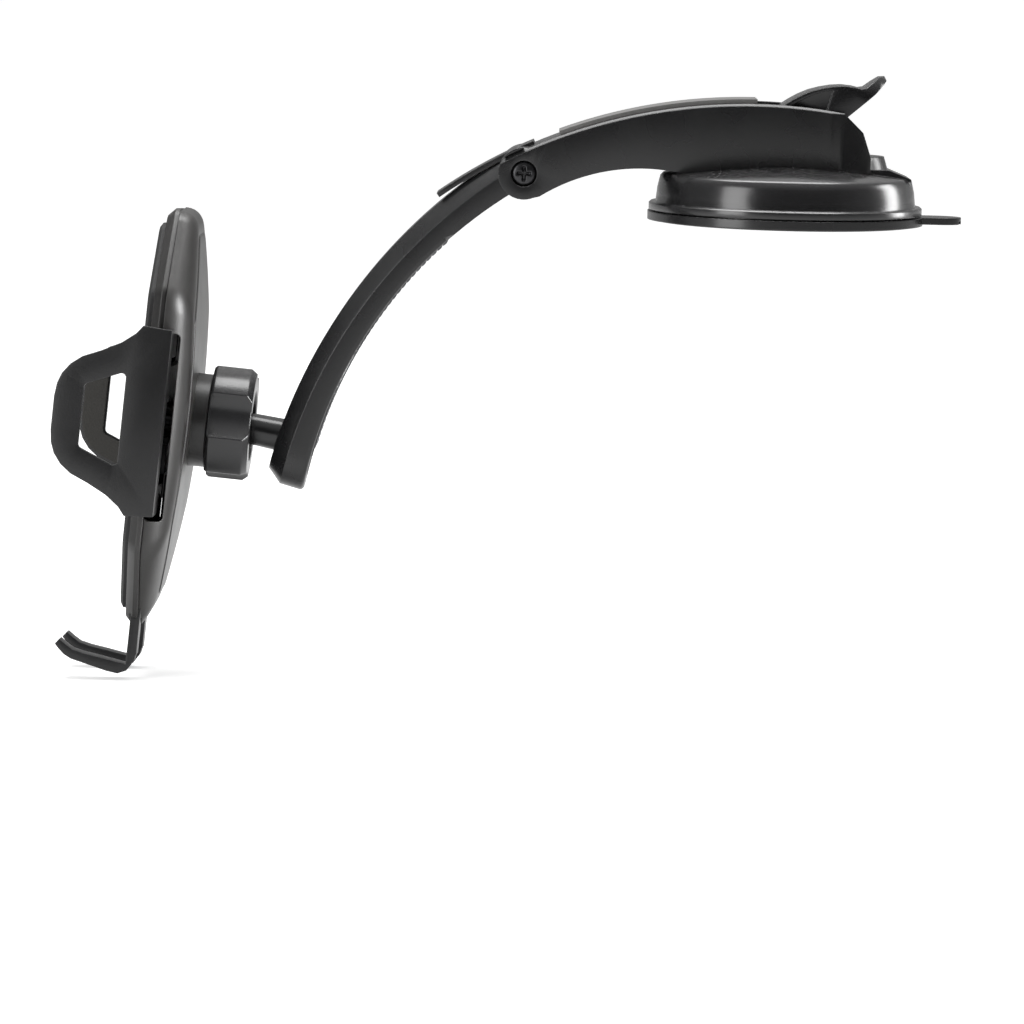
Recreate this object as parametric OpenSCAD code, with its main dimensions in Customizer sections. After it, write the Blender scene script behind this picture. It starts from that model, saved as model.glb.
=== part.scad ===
// Dashboard phone mount: a lever-locked suction base, a two-piece folding arm,
// a ball joint and a spring-opened cradle. Millimetres, +Z up.
// The origin is the centre of the suction cup's flat underside.
// The arm reaches towards -X, and the lever's tongue points towards +X.

/* [Suction base] */
// Radius of the rubber cup
cup_r = 39; // [36:0.5:44]
// Thickness of the rubber cup at its rim
cup_t = 2.4; // [2.2:0.1:3.2]
// Gap that shows between the cup and the housing
cup_gap = 0.5; // [0.3:0.1:0.8]
// How far the housing's lip stands inside the cup's edge
lip_inset = 0.3; // [0.1:0.1:1]
// Height of the lip
lip_h = 2.2; // [1.8:0.1:3]
// Height of the ring wall above the lip
ring_h = 7.4; // [6:0.2:10]
// How far the ring wall stands inside the lip
ring_inset = 1.9; // [1.2:0.1:2.5]
// How far the ring wall leans in over its height
ring_draft = 1.2; // [0.6:0.1:2]
// Rounded edge between the ring wall and the roof
roof_edge = 0.8; // [0.4:0.1:1.2]
// Rise of the housing's roof from its edge to its centre
roof_rise = 4.6; // [3.6:0.2:6]
// Wall thickness of the housing
housing_wall = 2; // [1.6:0.1:2.6]
// Length of the pull tab
tab_len = 11; // [8:0.5:16]
// Width of the pull tab
tab_w = 13; // [9:0.5:18]

/* [Lever] */
// Gap between the lever and the arm's walls, at each side
lever_gap = 0.4; // [0.2:0.05:0.8]
// Height of the lever's pin above the cup's underside, lever open
pin_z = 26; // [25.4:0.1:27]
// Radius of the lever's pin
pin_r = 2; // [1.4:0.1:2.6]
// Eccentricity of the lever's cam
cam_offset = 2.4; // [1.6:0.1:3]
// Angle through which the lever closes
lever_travel = 40; // [30:1:45]

/* [Upper arm] */
// Outer width of the upper arm
arm_w = 27.4; // [24:0.2:32]
// Thickness of the arm's side walls
arm_wall = 3.1; // [2.2:0.1:3.6]
// Radius of the arm's top curve
top_r = 153.2; // [140:1:170]
// Radius of the curve along the arm's underside
belly_r = 53.7; // [48:0.5:60]
// Thickness of the strip let into the arm's top
strip_t = 1.2; // [0.8:0.1:1.8]
// Distance of the top strip from the arm's sides
strip_inset = 4.2; // [3.2:0.1:6]
// Bevel along the arm's top edges
arm_bevel = 0.7; // [0.3:0.1:1.4]
// Length of the stop tongue beyond the elbow
stop_len = 25; // [15:1:30]
// Distance of the stop tongue's sides from the arm's sides
stop_inset = 6.2; // [4.2:0.1:8]
// Thickness of the stop tongue
stop_t = 1.4; // [1:0.1:1.6]

/* [Elbow] */
// Radius of the elbow's cheeks
cheek_r = 7.3; // [6.6:0.1:8.5]
// Radius of the barrel on the lower arm
barrel_r = 5.2; // [4.6:0.1:5.3]
// Outer radius of the steel sleeve in the barrel
sleeve_r = 3; // [2.6:0.1:3.6]
// Thickness of the friction washers beside the barrel
washer_t = 0.5; // [0.3:0.1:1]
// Radius of the elbow screws' heads
elbow_head_r = 3.4; // [2.8:0.1:4]

/* [Lower arm] */
// Gap between the lower arm and the upper arm's walls, at each side
fore_gap = 0.6; // [0.4:0.1:1.5]
// Radius of the lower arm's outer curve
fore_out_r = 150.95; // [145:1:158]
// Thickness of the lower arm at the elbow
fore_t = 10; // [9:0.25:12]
// How much tighter the lower arm's inner curve is than its outer one
fore_taper = 20.55; // [16:0.5:24]
// Depth of the bevel on the outer edges, along the arm's thickness
fore_bevel_d = 4.3; // [2:0.1:5]
// Width of the bevel on the outer edges, across the arm
fore_bevel_w = 3.5; // [1.5:0.1:5]
// Distance of the grip strip from the arm's sides
grip_inset = 2.5; // [2:0.1:4]
// Distance of the hinge insert from the arm's sides
insert_inset = 1.4; // [1:0.1:3]
// Length of the hinge insert along the arm
insert_len = 22.6; // [18:0.5:28]

/* [Ball joint] */
// Length of the stem between the ball's centre and the lower arm
stem_len = 17.1; // [15.5:0.1:22]
// Radius of the ball
ball_r = 8.5; // [7:0.25:10]
// Thickness of each ball seat
seat_t = 0.8; // [0.6:0.1:1.2]
// Radius of the stem at the ball
stem_r = 4.2; // [3.4:0.1:4.6]
// Outer radius of the clamping nut
nut_r = 16.6; // [15:0.2:19]
// Length of the clamping nut
nut_len = 12.2; // [10:0.2:14]
// Radius of the collar between the cradle and the nut
collar_r = 13.3; // [12.5:0.1:14]

/* [Cradle] */
// Half width of the cradle's housing
body_hw = 30; // [27:0.5:34]
// Top end of the housing above the ball's centre
body_top = 59.5; // [56:0.5:66]
// Bottom end of the housing below the ball's centre
body_bottom = 59.5; // [55:0.5:64]
// Half width of the housing's narrow ends
end_hw = 12; // [10:0.5:15]
// Height over which each end narrows
end_taper = 23; // [18:0.5:28]
// Thickness of the housing's walls
shell_t = 2; // [1.6:0.1:2.4]
// Thickness of the front pad above its shell
pad_t = 2; // [1.2:0.1:3]

/* [Clamps and foot] */
// Distance from the middle to a clamp's outer face
clamp_y = 40; // [38:0.5:44]
// Half height of the clamps
clamp_hh = 26; // [22:0.5:27]
// Reach of the clamps in front of their slides
clamp_reach = 30.6; // [26:0.2:34]
// Thickness of the clamp plates
clamp_t = 2.2; // [1.8:0.1:2.8]
// Thickness of the clamps' rubber pads
clamp_pad_t = 1.2; // [0.8:0.1:1.6]
// Width of the foot's plate
foot_w = 27; // [22:0.5:27.5]
// Width of each foot hook
hook_w = 6.5; // [5:0.5:8]
// Module of the rack and pinion teeth
gear_module = 1; // [0.8:0.1:1.2]

/* [Hidden] */
$fn = 72;

// Overrun of every cut
cut = 1;
// A length that is larger than the part, for half spaces
far = 400;
// Clearance of sliding and turning fits
run_gap = 0.05;
// Clearance between moving mouldings
play = 0.3;
// Thinnest web between two hollows
wall_min = 0.4;

// Heights of the suction base
lip_z = cup_t + cup_gap;
ring_z = lip_z + lip_h;
roof_z = ring_z + ring_h + roof_edge;
lip_r = cup_r - lip_inset;
ring_r = lip_r - ring_inset;
roof_r = ring_r - ring_draft;
roof_in_r = roof_r - roof_edge;
ring_mid_share = 0.55;
ring_lean_share = 0.35;
// Slope of the roof, as a share of its radius
peak_z = roof_z + roof_rise;
function roof_at(r) = peak_z - roof_rise * r / roof_in_r;

// Stem of the cup, its plate and its guide
plate_r = 15;
plate_t = 1.6;
plate_z = 1.4;
stem_post_r = 5;
eye_w = 7;
eye_r = 4;
spring_wire = 1;
spring_turns = 4;
spring_coil_r = stem_post_r + 1.6 * spring_wire;
hub_wall = 1.8;

// Floor of the arm on the housing, which the cam bears on
cam_mean_r = 7.6;
cam_phase = lever_travel / 2;
pin_lift = 2 * cam_offset * sin(cam_phase);
floor_z = pin_z - cam_mean_r + cam_offset * sin(cam_phase);
cam_r = cam_mean_r - run_gap * 2;
post_top = floor_z - pin_lift - play;

// Curve centres of the arm's side view, as [x, z]
top_peak = [-9.46, 34.8];
top_c = top_peak - [0, top_r];
belly_peak = [-40.57, 14.74];
belly_c = belly_peak - [0, belly_r];
elbow_x = -74.2;
elbow_depth = 7.17;
elbow_r = top_r - elbow_depth;
elbow = [elbow_x, top_c[1] + sqrt(elbow_r * elbow_r - (elbow_x - top_c[0]) * (elbow_x - top_c[0]))];

// Radii about the top curve's centre
deck_r = top_r - strip_t;
side_r = deck_r - arm_bevel;
roof_t = 1.7;
stop_in_r = top_r - stop_t;
arm_in_w = arm_w - 2 * arm_wall;
lever_w = arm_in_w - 2 * lever_gap;
strip_w = arm_w - 2 * strip_inset;
stop_w = arm_w - 2 * stop_inset;
fore_w = arm_in_w - 2 * fore_gap;
insert_w = fore_w - 2 * insert_inset;
grip_w = fore_w - 2 * grip_inset;

// Places along the arm's top, as x
strip_end_x = -9;
strip_start_x = -64.6;
stop_root_x = -71.8;
heel_r = 12.6;
arm_in_end_x = -heel_r - wall_min;
rib_t = 1.4;
rib_x = [-56, -42, -28];
rib_drop = 7;
barrel_gap = 0.25;
floor_end_x = 27.6;
tail_break = [15.5, 31.3];
tail_top = [20.8, 26.2];
tail_foot_x = 23.2;
ledge_r = 12.2;
ledge_draft_share = 0.31;
ramp_top = [28.5, 15.8];

function angle_of(c, p) = atan2(p[1] - c[1], p[0] - c[0]);
function angle_at_x(c, r, x) = acos((x - c[0]) / r);
function turned(p, a) = [p[0] * cos(a) + p[1] * sin(a), -p[0] * sin(a) + p[1] * cos(a)];
function on_circle(c, r, a) = [c[0] + r * cos(a), c[1] + r * sin(a)];
function arc_angle(len, r) = len / r * 180 / PI;

elbow_a = angle_of(top_c, elbow);
stop_end_a = elbow_a + arc_angle(stop_len, top_r);

// Elbow pieces
barrel_w = arm_in_w - 2 * washer_t;
head_t = 1.6;
head_pocket_gap = 0.3;
elbow_shank_r = 1.9;
elbow_shank_len = 9;
cross_w = 1;
cross_l = 4;
cross_d = 1.1;

// Lower arm
fore_in_r = fore_out_r - fore_taper;
fore_out_depth = 6.83;
fore_out_a = 121.66;
fore_in_a = 120.4;
fore_out_c = on_circle(elbow, fore_out_depth - fore_out_r, fore_out_a);
fore_in_c = on_circle(elbow, fore_out_depth - fore_t - fore_in_r, fore_in_a);
stud_a = 162.35;
fore_mid_c = (fore_out_c + fore_in_c) / 2;
fore_mid_r = (fore_out_r + fore_in_r) / 2;
fore_end_a = 164.6;
fore_start_a = angle_of(fore_mid_c, elbow);
insert_t = 2;
insert_start_a = angle_of(fore_in_c, elbow) + arc_angle(barrel_r + play, fore_in_r);
insert_end_a = insert_start_a + arc_angle(insert_len, fore_in_r);
grip_t = 0.9;
grip_recess = 1.3;
grip_start_a = insert_end_a + arc_angle(play, fore_in_r);
grip_end_a = fore_end_a - arc_angle(play, fore_in_r);
slot_w = 1.4;
slot_inset = 1.5;
tear_w = 1;
tear_len = 7;
tear_y = 3.1;

// Ball joint, with the cradle's own frame at the ball's centre
stem_tilt = 10.5;
ball = on_circle(fore_out_c, fore_out_r, stud_a) - stem_len * [cos(stem_tilt), -sin(stem_tilt)];
cradle_tilt = 4.75;
cradle_spin = -3.3;
stem_foot_r = 4.8;
spigot_r = 3.2;
spigot_len = 4;
stud_screw_r = 1.6;
stud_head_r = 3;
stud_head_t = 2;
seat_gap = 0.05;
seat_out_r = ball_r + seat_gap + seat_t;
socket_in_r = seat_out_r + seat_gap;
collar_step = 1.5;
neck_r = collar_r - collar_step;
nut_left = -2.9;
nut_right = nut_left + nut_len;
neck_end = 4.9;
lip_x = neck_end + play;
mouth_r = 7.7;
mouth_out_r = 10.2;
seat_ring_x = 1.5;
seat_ring_end = 4.5;
flange_r = 16;
flange_t = 2;
valley_depth = 3.2;
nut_chamfer = 1.6;

// Cradle housing, with x pointing back towards the ball joint
back_x = -7.35;
part_x = -16.7;
front_x = -20.3;
crown_r = 360;
crown_z = 6;
panel_hw = 23.5;
panel_top = 53;
panel_bottom = 50;
panel_end_hw = 9;
shell_round = 5;
front_t = 1.4;
front_inset = 2.2;
pad_inset = 4.5;
parting_gap = 0.1;
end_drop = 6;
top_drop_share = 0.4;
low_drop_share = 1.6;
// Steps of the back's rounded edge: down from the back, in from the side, in from the ends
back_step_shares = [[1.3, 0.1, 0.15], [1, 0.2, 0.5], [0.7, 0.45, 1]];

// Slides
slide_x = -13.4;
slide_t = 2.2;
slide_front = slide_x - slide_t;
// Width and depth of the relief behind each clamp's opening
rebate_w = 1.8;
rebate_t = 1.4;
slide_root_in = 30.8;
rail_in = 18;
rail_w = 8;
rack_top = 15.5;
tongue_tip = 14;
teeth = 12;
pitch_r = teeth * gear_module / 2;
addendum = 0.7 * gear_module;
dedendum = 1.15 * gear_module;
tooth_gap = 0.12;
pressure = 20;
pinion_bore = 1.5;
window_gap = 1.2;
serration = 1.5;
serration_d = 0.8;
clamp_wing_x = -22;

// Foot
foot_x = -16.05;
foot_t = 2.7;
foot_front = foot_x - foot_t;
foot_in_z = -22;
foot_bend_z = -67.5;
hook_pitch = foot_w - hook_w;
hook_reach = 23.25;
foot_slot_w = 9;

// Release parts
button_z = -41;
button_h = 8;
button_in_y = 22.5;
button_out_y = 29.8;
rod_r = 1.4;
rod_in_y = 15.4;
pawl_pivot = [13.6, -32];
pawl_pin_r = 1.2;
pawl_hub_r = 2.2;
pawl_tip = [22.4, -clamp_hh - play / 2];
pawl_t = 1.6;
pawl_tail_z = -43;
button_spring_wire = 0.4;
button_spring_turns = 5;
button_gap = 1.6;
button_spring_len = 4.4;

// Screws of the cradle
boss_r = 2.6;
shell_screw_r = 1.2;
shell_head_r = 2.3;
shell_head_t = 1;
screw_places = [[-14, 46.5], [14, 46.5], [-16.8, -45.2], [16.8, -45.2]];
socket_screw_r = 1;
socket_screw_len = 3.4;
socket_head_r = 1.8;
socket_screw_count = 3;

// Extrudes a side view, drawn in x and z, to both sides of the middle plane
module side(w) rotate([90, 0, 0]) linear_extrude(w, center = true) children();

// Turns a profile of radius and width about a cross axis at c
module round_y(c) translate([c[0], 0, c[1]]) rotate([90, 0, 0]) rotate_extrude() children();

// A curved bar of rectangular section, from angle a0 to a1 about c
module arc_bar(c, r0, r1, a0, a1, w)
    translate([c[0], 0, c[1]]) rotate([90, 0, 0])
        rotate_extrude(angle = a1 - a0, start = a0)
            translate([r0, -w / 2]) square([r1 - r0, w]);

// Puts local X along the radius at angle a about c
module radial(c, a) translate([c[0], 0, c[1]]) rotate([0, -a, 0]) children();

// Puts local Z along row Y at a point of the side view
module cross_axis(p, y = 0) translate([p[0], y, p[1]]) rotate([-90, 0, 0]) children();

// The cradle's frame: its origin at the ball, x towards the arm, z up
module cradle_frame()
    translate([ball[0], 0, ball[1]]) rotate([0, cradle_tilt, 0]) rotate([cradle_spin, 0, 0])
        children();

// Turns a profile of radius and x about the cradle's own x axis
module round_x() rotate([0, 90, 0]) rotate_extrude() children();

// A plate in the cradle's y and z, from x0 forward to x1
module plate(x0, x1) translate([x1, 0, 0]) rotate([90, 0, 90]) linear_extrude(x0 - x1) children();

// A coil of round wire along z, with flat closed triangles
module coil(wire, turns, coil_r, length, sides = 6, per_turn = 16) {
    rings = turns * per_turn;
    rise = (length - wire) / rings;
    points = [for (i = [0:rings]) for (j = [0:sides - 1])
        let (a = i * 360 / per_turn, b = j * 360 / sides, r = coil_r + wire / 2 * cos(b))
        [r * cos(a), r * sin(a), wire / 2 + i * rise + wire / 2 * sin(b)]];
    walls = [for (i = [0:rings - 1]) for (j = [0:sides - 1])
        let (a = i * sides + j, b = i * sides + (j + 1) % sides)
        each [[a, b, b + sides], [a, b + sides, a + sides]]];
    first = [for (j = [1:sides - 2]) [0, j + 1, j]];
    last = [for (j = [1:sides - 2]) [rings * sides, rings * sides + j, rings * sides + j + 1]];
    polyhedron(points, concat(walls, first, last));
}

// A cross recess, cut from a head whose outer face is at z = 0, into -z
module cross_cut(l, w, d) {
    translate([-l / 2, -w / 2, -d]) cube([l, w, d + cut]);
    translate([-w / 2, -l / 2, -d]) cube([w, l, d + cut]);
}

// A pan screw along z: its head's top at z = 0, its shank below
module pan_screw(head_r, head_h, shank_r, len, recess_share) {
    difference() {
        union() {
            translate([0, 0, -head_h]) cylinder(r = head_r, h = head_h);
            translate([0, 0, -head_h - len]) cylinder(r = shank_r, h = len);
        }
        cross_cut(head_r * 2 * recess_share, head_r * recess_share / 2, head_h * recess_share);
    }
}

// Suction base

module suction_cup() {
    tab_x = cup_r + tab_len - tab_w / 2;
    tab_z = cup_gap;
    tab_t = cup_t - cup_gap;
    cell_w = tab_w / 5;
    cell_d = tab_t / 2;
    color([0.11, 0.11, 0.12]) difference() {
        union() {
            cylinder(r = cup_r, h = cup_t);
            cylinder(r = roof_r, h = lip_z);
            translate([0, -tab_w / 2, tab_z]) cube([tab_x, tab_w, tab_t]);
            translate([tab_x, 0, tab_z]) cylinder(r = tab_w / 2, h = tab_t);
        }
        translate([0, 0, plate_z]) cylinder(r = plate_r + play, h = cup_t + cup_gap);
        for (i = [0:2], s = [-1, 1])
            translate([cup_r + cell_w / 2 + i * cell_w * 4 / 3, s * cell_w * 3 / 4 - cell_w / 2,
                tab_z - cut])
                cube([cell_w, cell_w, cell_d + cut]);
    }
}

module housing_solid() {
    rotate_extrude() polygon([[0, lip_z], [lip_r, lip_z], [lip_r, lip_z + lip_h * 0.8],
        [lip_r - lip_h * 0.2, ring_z], [ring_r, ring_z],
        [ring_r - ring_draft * ring_lean_share, ring_z + ring_h * ring_mid_share],
        [roof_r, ring_z + ring_h], [roof_in_r, roof_z], [0, peak_z]]);
}

// Everything below the slope of the housing's roof
module below_roof() {
    reach_r = ring_r;
    translate([0, 0, roof_at(reach_r)]) cylinder(r1 = reach_r, r2 = 0, h = peak_z - roof_at(reach_r));
    translate([0, 0, -far / 4]) cylinder(r = reach_r, h = far / 4 + roof_at(reach_r));
}

module base_housing() {
    inner_r = roof_in_r - housing_wall;
    guide_r = stem_post_r + run_gap;
    hub_r = spring_coil_r + spring_wire + hub_wall;
    color([0.15, 0.15, 0.16]) difference() {
        union() {
            difference() {
                housing_solid();
                translate([0, 0, lip_z - cut])
                    cylinder(r = inner_r, h = roof_z - lip_z - housing_wall + cut);
                translate([0, 0, lip_z]) cylinder(r1 = inner_r, r2 = 0,
                    h = (roof_z - lip_z - housing_wall) + roof_rise, $fn = 72);
            }
            translate([0, 0, lip_z + housing_wall])
                cylinder(r = hub_r, h = roof_at(hub_r) - lip_z - housing_wall);
            for (a = [30:60:330]) rotate([0, 0, a])
                translate([hub_r - housing_wall / 2, -housing_wall / 4, lip_z + housing_wall])
                cube([inner_r - hub_r + housing_wall, housing_wall / 2, ring_h]);
            difference() {
                side(arm_in_w) polygon([[tail_foot_x, ramp_top[1]], ramp_top, [roof_in_r, roof_z],
                    [roof_in_r, roof_z - roof_edge], [tail_foot_x, roof_z - roof_edge]]);
                arm_ledge();
            }
        }
        translate([0, 0, -far / 2]) cylinder(r = guide_r, h = far);
        translate([0, 0, lip_z]) cylinder(r = spring_coil_r + spring_wire, h = spring_room());
        for (p = arm_screw_places()) translate([p[0], p[1], -far / 2]) cylinder(r = arm_screw_r, h = far);
        for (p = arm_screw_places()) translate([p[0], p[1], lip_z - cut])
            cylinder(r = arm_head_r, h = cut + arm_head_z() - lip_z);
    }
}

// Height of the spring's chamber in the housing's hub
function spring_room() = roof_z - lip_z - housing_wall;

arm_screw_r = 1.3;
arm_head_r = 2.6;
arm_head_t = 1.8;
arm_screw_len = 7;
arm_screw_x = 11.5;
arm_screw_y = 9.2;
function arm_screw_places() = [for (s = [-1, 1], t = [-1, 1]) [s * arm_screw_x, t * arm_screw_y]];
function arm_head_z() = roof_z - housing_wall - arm_head_t / 4;

module arm_screws() {
    color([0.55, 0.55, 0.57]) for (p = arm_screw_places())
        translate([p[0], p[1], arm_head_z() - arm_head_t]) rotate([180, 0, 0])
            pan_screw(arm_head_r - play, arm_head_t, arm_screw_r, arm_screw_len, 0.7);
}

module cup_stem() {
    color([0.72, 0.72, 0.7]) difference() {
        union() {
            translate([0, 0, plate_z]) cylinder(r = plate_r, h = plate_t);
            translate([0, 0, plate_z]) cylinder(r = stem_post_r, h = post_top - plate_z);
            intersection() {
                translate([0, 0, plate_z]) cylinder(r = stem_post_r, h = far);
                union() {
                    cross_axis([0, pin_z], -eye_w / 2) cylinder(r = eye_r, h = eye_w);
                    translate([-eye_r, -eye_w / 2, post_top - cut])
                        cube([eye_r * 2, eye_w, pin_z - post_top + cut]);
                }
            }
        }
        cross_axis([0, pin_z], -far / 2) cylinder(r = pin_r, h = far);
    }
}

module stem_spring() {
    spring_z = plate_z + plate_t;
    color([0.7, 0.7, 0.72]) translate([0, 0, spring_z])
        coil(spring_wire, spring_turns, spring_coil_r - spring_wire / 3, lip_z + spring_room() - spring_z);
}

module lever_pin() {
    pin_len = lever_w - 2 * play;
    color([0.7, 0.7, 0.72]) cross_axis([0, pin_z], -pin_len / 2) cylinder(r = pin_r, h = pin_len);
}

// The closed lever's outline about its pin, as shares of its length
lever_len = 31;
lever_shares = [[-0.271, 0.218], [-0.075, 0.222], [0.07, 0.218], [0.195, 0.204], [0.283, 0.188],
    [0.383, 0.159], [0.476, 0.117], [0.567, 0.066], [0.647, 0.008], [0.712, -0.057], [0.751, -0.108],
    [0.792, -0.133], [0.876, -0.135], [0.955, -0.14], [0.997, -0.166], [0.984, -0.208], [0.903, -0.221],
    [0.823, -0.23], [0.2, -0.2335], [0.08, -0.1], [-0.2, 0.07], [-0.271, 0.12]];
// The recess in each side of the lever, under its top skin
lever_recess_shares = [[-0.271, 0.15], [-0.065, 0.175], [0.081, 0.175], [0.21, 0.162], [0.297, 0.146],
    [0.397, 0.118],
    [0.49, 0.078], [0.545, 0.04], [0.4, -0.06], [0.23, -0.17], [-0.271, -0.17]];
lever_t = 2;
lever_rib = 1.4;
lever_recess_d = 1.4;

module lever_closed() {
    under = lever_shares[18][1] * lever_len;
    tip_x = lever_shares[14][0] * lever_len;
    pocket_w = (lever_w - 2 * lever_t - 2 * lever_rib) / 3;
    pocket_x = eye_r + lever_t * 1.2;
    step_x = lever_shares[11][0] * lever_len;
    difference() {
        union() {
            difference() {
                intersection() {
                    side(lever_w) polygon(lever_shares * lever_len);
                    union() {
                        translate([-far, -lever_w / 2 - cut, -far / 2])
                            cube([far + tip_x - lever_w / 2, lever_w + 2 * cut, far]);
                        translate([tip_x - lever_w / 2, 0, -far / 2]) cylinder(r = lever_w / 2, h = far);
                    }
                }
                for (s = [-1, 1]) translate([0, s * lever_w / 2, 0]) side(lever_recess_d * 2)
                    polygon(lever_recess_shares * lever_len);
            }
            cross_axis(turned([cam_offset * cos(cam_phase), cam_offset * sin(cam_phase)], lever_travel),
                -lever_w / 2 + lever_recess_d)
                cylinder(r = cam_r, h = lever_w - 2 * lever_recess_d);
        }
        cross_axis([0, 0], -far / 2) cylinder(r = pin_r + run_gap, h = far);
        side(eye_w + 2 * play) {
            translate([-far, -far]) square([far + eye_r + play, far + eye_r + play]);
            for (a = [10:10:lever_travel]) rotate(-a) translate([-eye_r - play, -far])
                square([2 * (eye_r + play), far]);
        }
        for (i = [-1:1]) translate([pocket_x, i * (pocket_w + lever_rib) - pocket_w / 2, under - cut])
            cube([step_x - lever_t / 2 - pocket_x - abs(i) * lever_t / 2, pocket_w, cut + lever_t * 1.4]);
    }
}

module lever() {
    color([0.2, 0.2, 0.21]) translate([0, 0, pin_z]) rotate([0, -lever_travel, 0]) lever_closed();
}

// Upper arm

// The arm's side view, without the stop tongue
module arm_outline() {
    difference() {
        intersection() {
            translate(top_c) circle(r = deck_r, $fn = 360);
            polygon([elbow, [elbow[0], far], [tail_break[0], far],
                tail_break, tail_top, [tail_foot_x, floor_z], [tail_foot_x, elbow[1] - cheek_r],
                elbow + cheek_r * [1, -0.78], elbow + cheek_r * [0.35, -0.93]]);
        }
        translate(belly_c) circle(r = belly_r, $fn = 360);
    }
    translate(elbow) circle(r = cheek_r);
}

// The arm seen from above: straight sides that draw in towards the tail
module arm_plan() {
    tail_draw_r = 45;
    side_y = arm_w / 2;
    straight_x = tail_foot_x / 2;
    translate([-far, -side_y - cut]) square([far + straight_x, arm_w + 2 * cut]);
    intersection() {
        translate([tail_foot_x * 0.4, side_y - tail_draw_r]) circle(r = tail_draw_r, $fn = 360);
        translate([tail_foot_x * 0.4, tail_draw_r - side_y]) circle(r = tail_draw_r, $fn = 360);
    }
}

// The arm's rounded ledge behind the tail
module arm_ledge() {
    ledge_h = lip_h * 3;
    translate([floor_end_x - ledge_r, 0, floor_z - ledge_h])
        cylinder(r1 = ledge_r + ledge_h * ledge_draft_share, r2 = ledge_r, h = ledge_h);
}

// The hollow of the arm between its side walls
module arm_void() {
    difference() {
        translate(top_c) circle(r = deck_r - roof_t, $fn = 360);
        translate([arm_in_end_x, -far]) square([far, far + floor_z]);
        for (x = rib_x) intersection() {
            translate([x - rib_t / 2, 0]) square([rib_t, far]);
            difference() {
                translate(top_c) circle(r = top_r, $fn = 360);
                translate(top_c) circle(r = deck_r - roof_t - rib_drop, $fn = 360);
            }
        }
    }
    translate([strip_end_x, floor_z]) square([far, far]);
    translate([0, pin_z]) circle(r = heel_r);
    translate(elbow) circle(r = barrel_r + barrel_gap);
    intersection() {
        translate(elbow) circle(r = cheek_r + cut);
        translate(top_c) circle(r = stop_in_r, $fn = 360);
        translate([elbow[0] - far, -far]) square([far, 2 * far]);
    }
}

module upper_arm() {
    stop_root_a = angle_at_x(top_c, top_r, stop_root_x);
    color([0.16, 0.16, 0.17]) difference() {
        union() {
            difference() {
                intersection() {
                    side(arm_w) arm_outline();
                    translate([0, 0, -far / 2]) linear_extrude(far) arm_plan();
                }
                side(arm_in_w) arm_void();
            }
            arm_ledge();
            side(rib_t) intersection() {
                difference() {
                    translate(top_c) circle(r = deck_r - roof_t / 2, $fn = 360);
                    translate(top_c) circle(r = deck_r - roof_t - rib_drop, $fn = 360);
                }
                translate([rib_x[0], 0]) square([arm_in_end_x - play - rib_x[0], far]);
            }
            arc_bar(top_c, stop_in_r, top_r, stop_root_a, stop_end_a, stop_w);
        }
        below_roof();
        for (s = [-1, 1]) round_y(top_c) polygon([[side_r - arm_bevel, s * (arm_w / 2 + arm_bevel)],
            [deck_r + arm_bevel, s * (arm_w / 2 - 2 * arm_bevel)],
            [deck_r + arm_bevel, s * (arm_w / 2 + arm_bevel)]]);
        cross_axis(elbow, -far / 2) cylinder(r = elbow_shank_r, h = far);
        for (s = [-1, 1])
            cross_axis(elbow, s > 0 ? arm_w / 2 - head_t - head_pocket_gap : -arm_w / 2 - cut)
            cylinder(r = elbow_head_r + head_pocket_gap, h = head_t + head_pocket_gap + cut);
        translate([0, 0, floor_z - far / 2]) cylinder(r = stem_post_r + play, h = far / 2 + cut);
        for (p = arm_screw_places()) translate([p[0], p[1], 0])
            cylinder(r = arm_screw_r, h = floor_z - play * 2);
    }
}

module top_strip() {
    a0 = angle_at_x(top_c, top_r, strip_end_x);
    a1 = angle_at_x(top_c, top_r, strip_start_x);
    color([0.3, 0.3, 0.31]) arc_bar(top_c, deck_r, top_r, a0, a1, strip_w);
}

// Elbow

module elbow_screws() {
    color([0.1, 0.1, 0.11]) for (s = [-1, 1])
        translate([elbow[0], s * (arm_w / 2 - head_pocket_gap), elbow[1]]) rotate([-90 * s, 0, 0])
            pan_screw(elbow_head_r, head_t, elbow_shank_r, elbow_shank_len, 0.62);
}

module elbow_sleeve() {
    color([0.6, 0.6, 0.62]) cross_axis(elbow, -arm_in_w / 2) difference() {
        cylinder(r = sleeve_r, h = arm_in_w);
        translate([0, 0, -cut]) cylinder(r = elbow_shank_r, h = arm_in_w + 2 * cut);
    }
}

module elbow_washers() {
    color([0.5, 0.5, 0.5]) for (y = [-arm_in_w / 2, arm_in_w / 2 - washer_t]) cross_axis(elbow, y)
        difference() {
        cylinder(r = barrel_r - play, h = washer_t);
        translate([0, 0, -cut]) cylinder(r = sleeve_r, h = washer_t + 2 * cut);
    }
}

// Lower arm

module stud_axis() translate([ball[0], 0, ball[1]]) rotate([0, 90 + stem_tilt, 0]) children();

// Distance from the ball to the arm's outer face and to its inner face, along the stud
function reach(c, r) = let (d = [cos(stem_tilt), -sin(stem_tilt)], q = ball - c, b = q * d)
    -b - sqrt(b * b - q * q + r * r);
stud_out = reach(fore_out_c, fore_out_r);
stud_in = reach(fore_in_c, fore_in_r);

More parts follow.
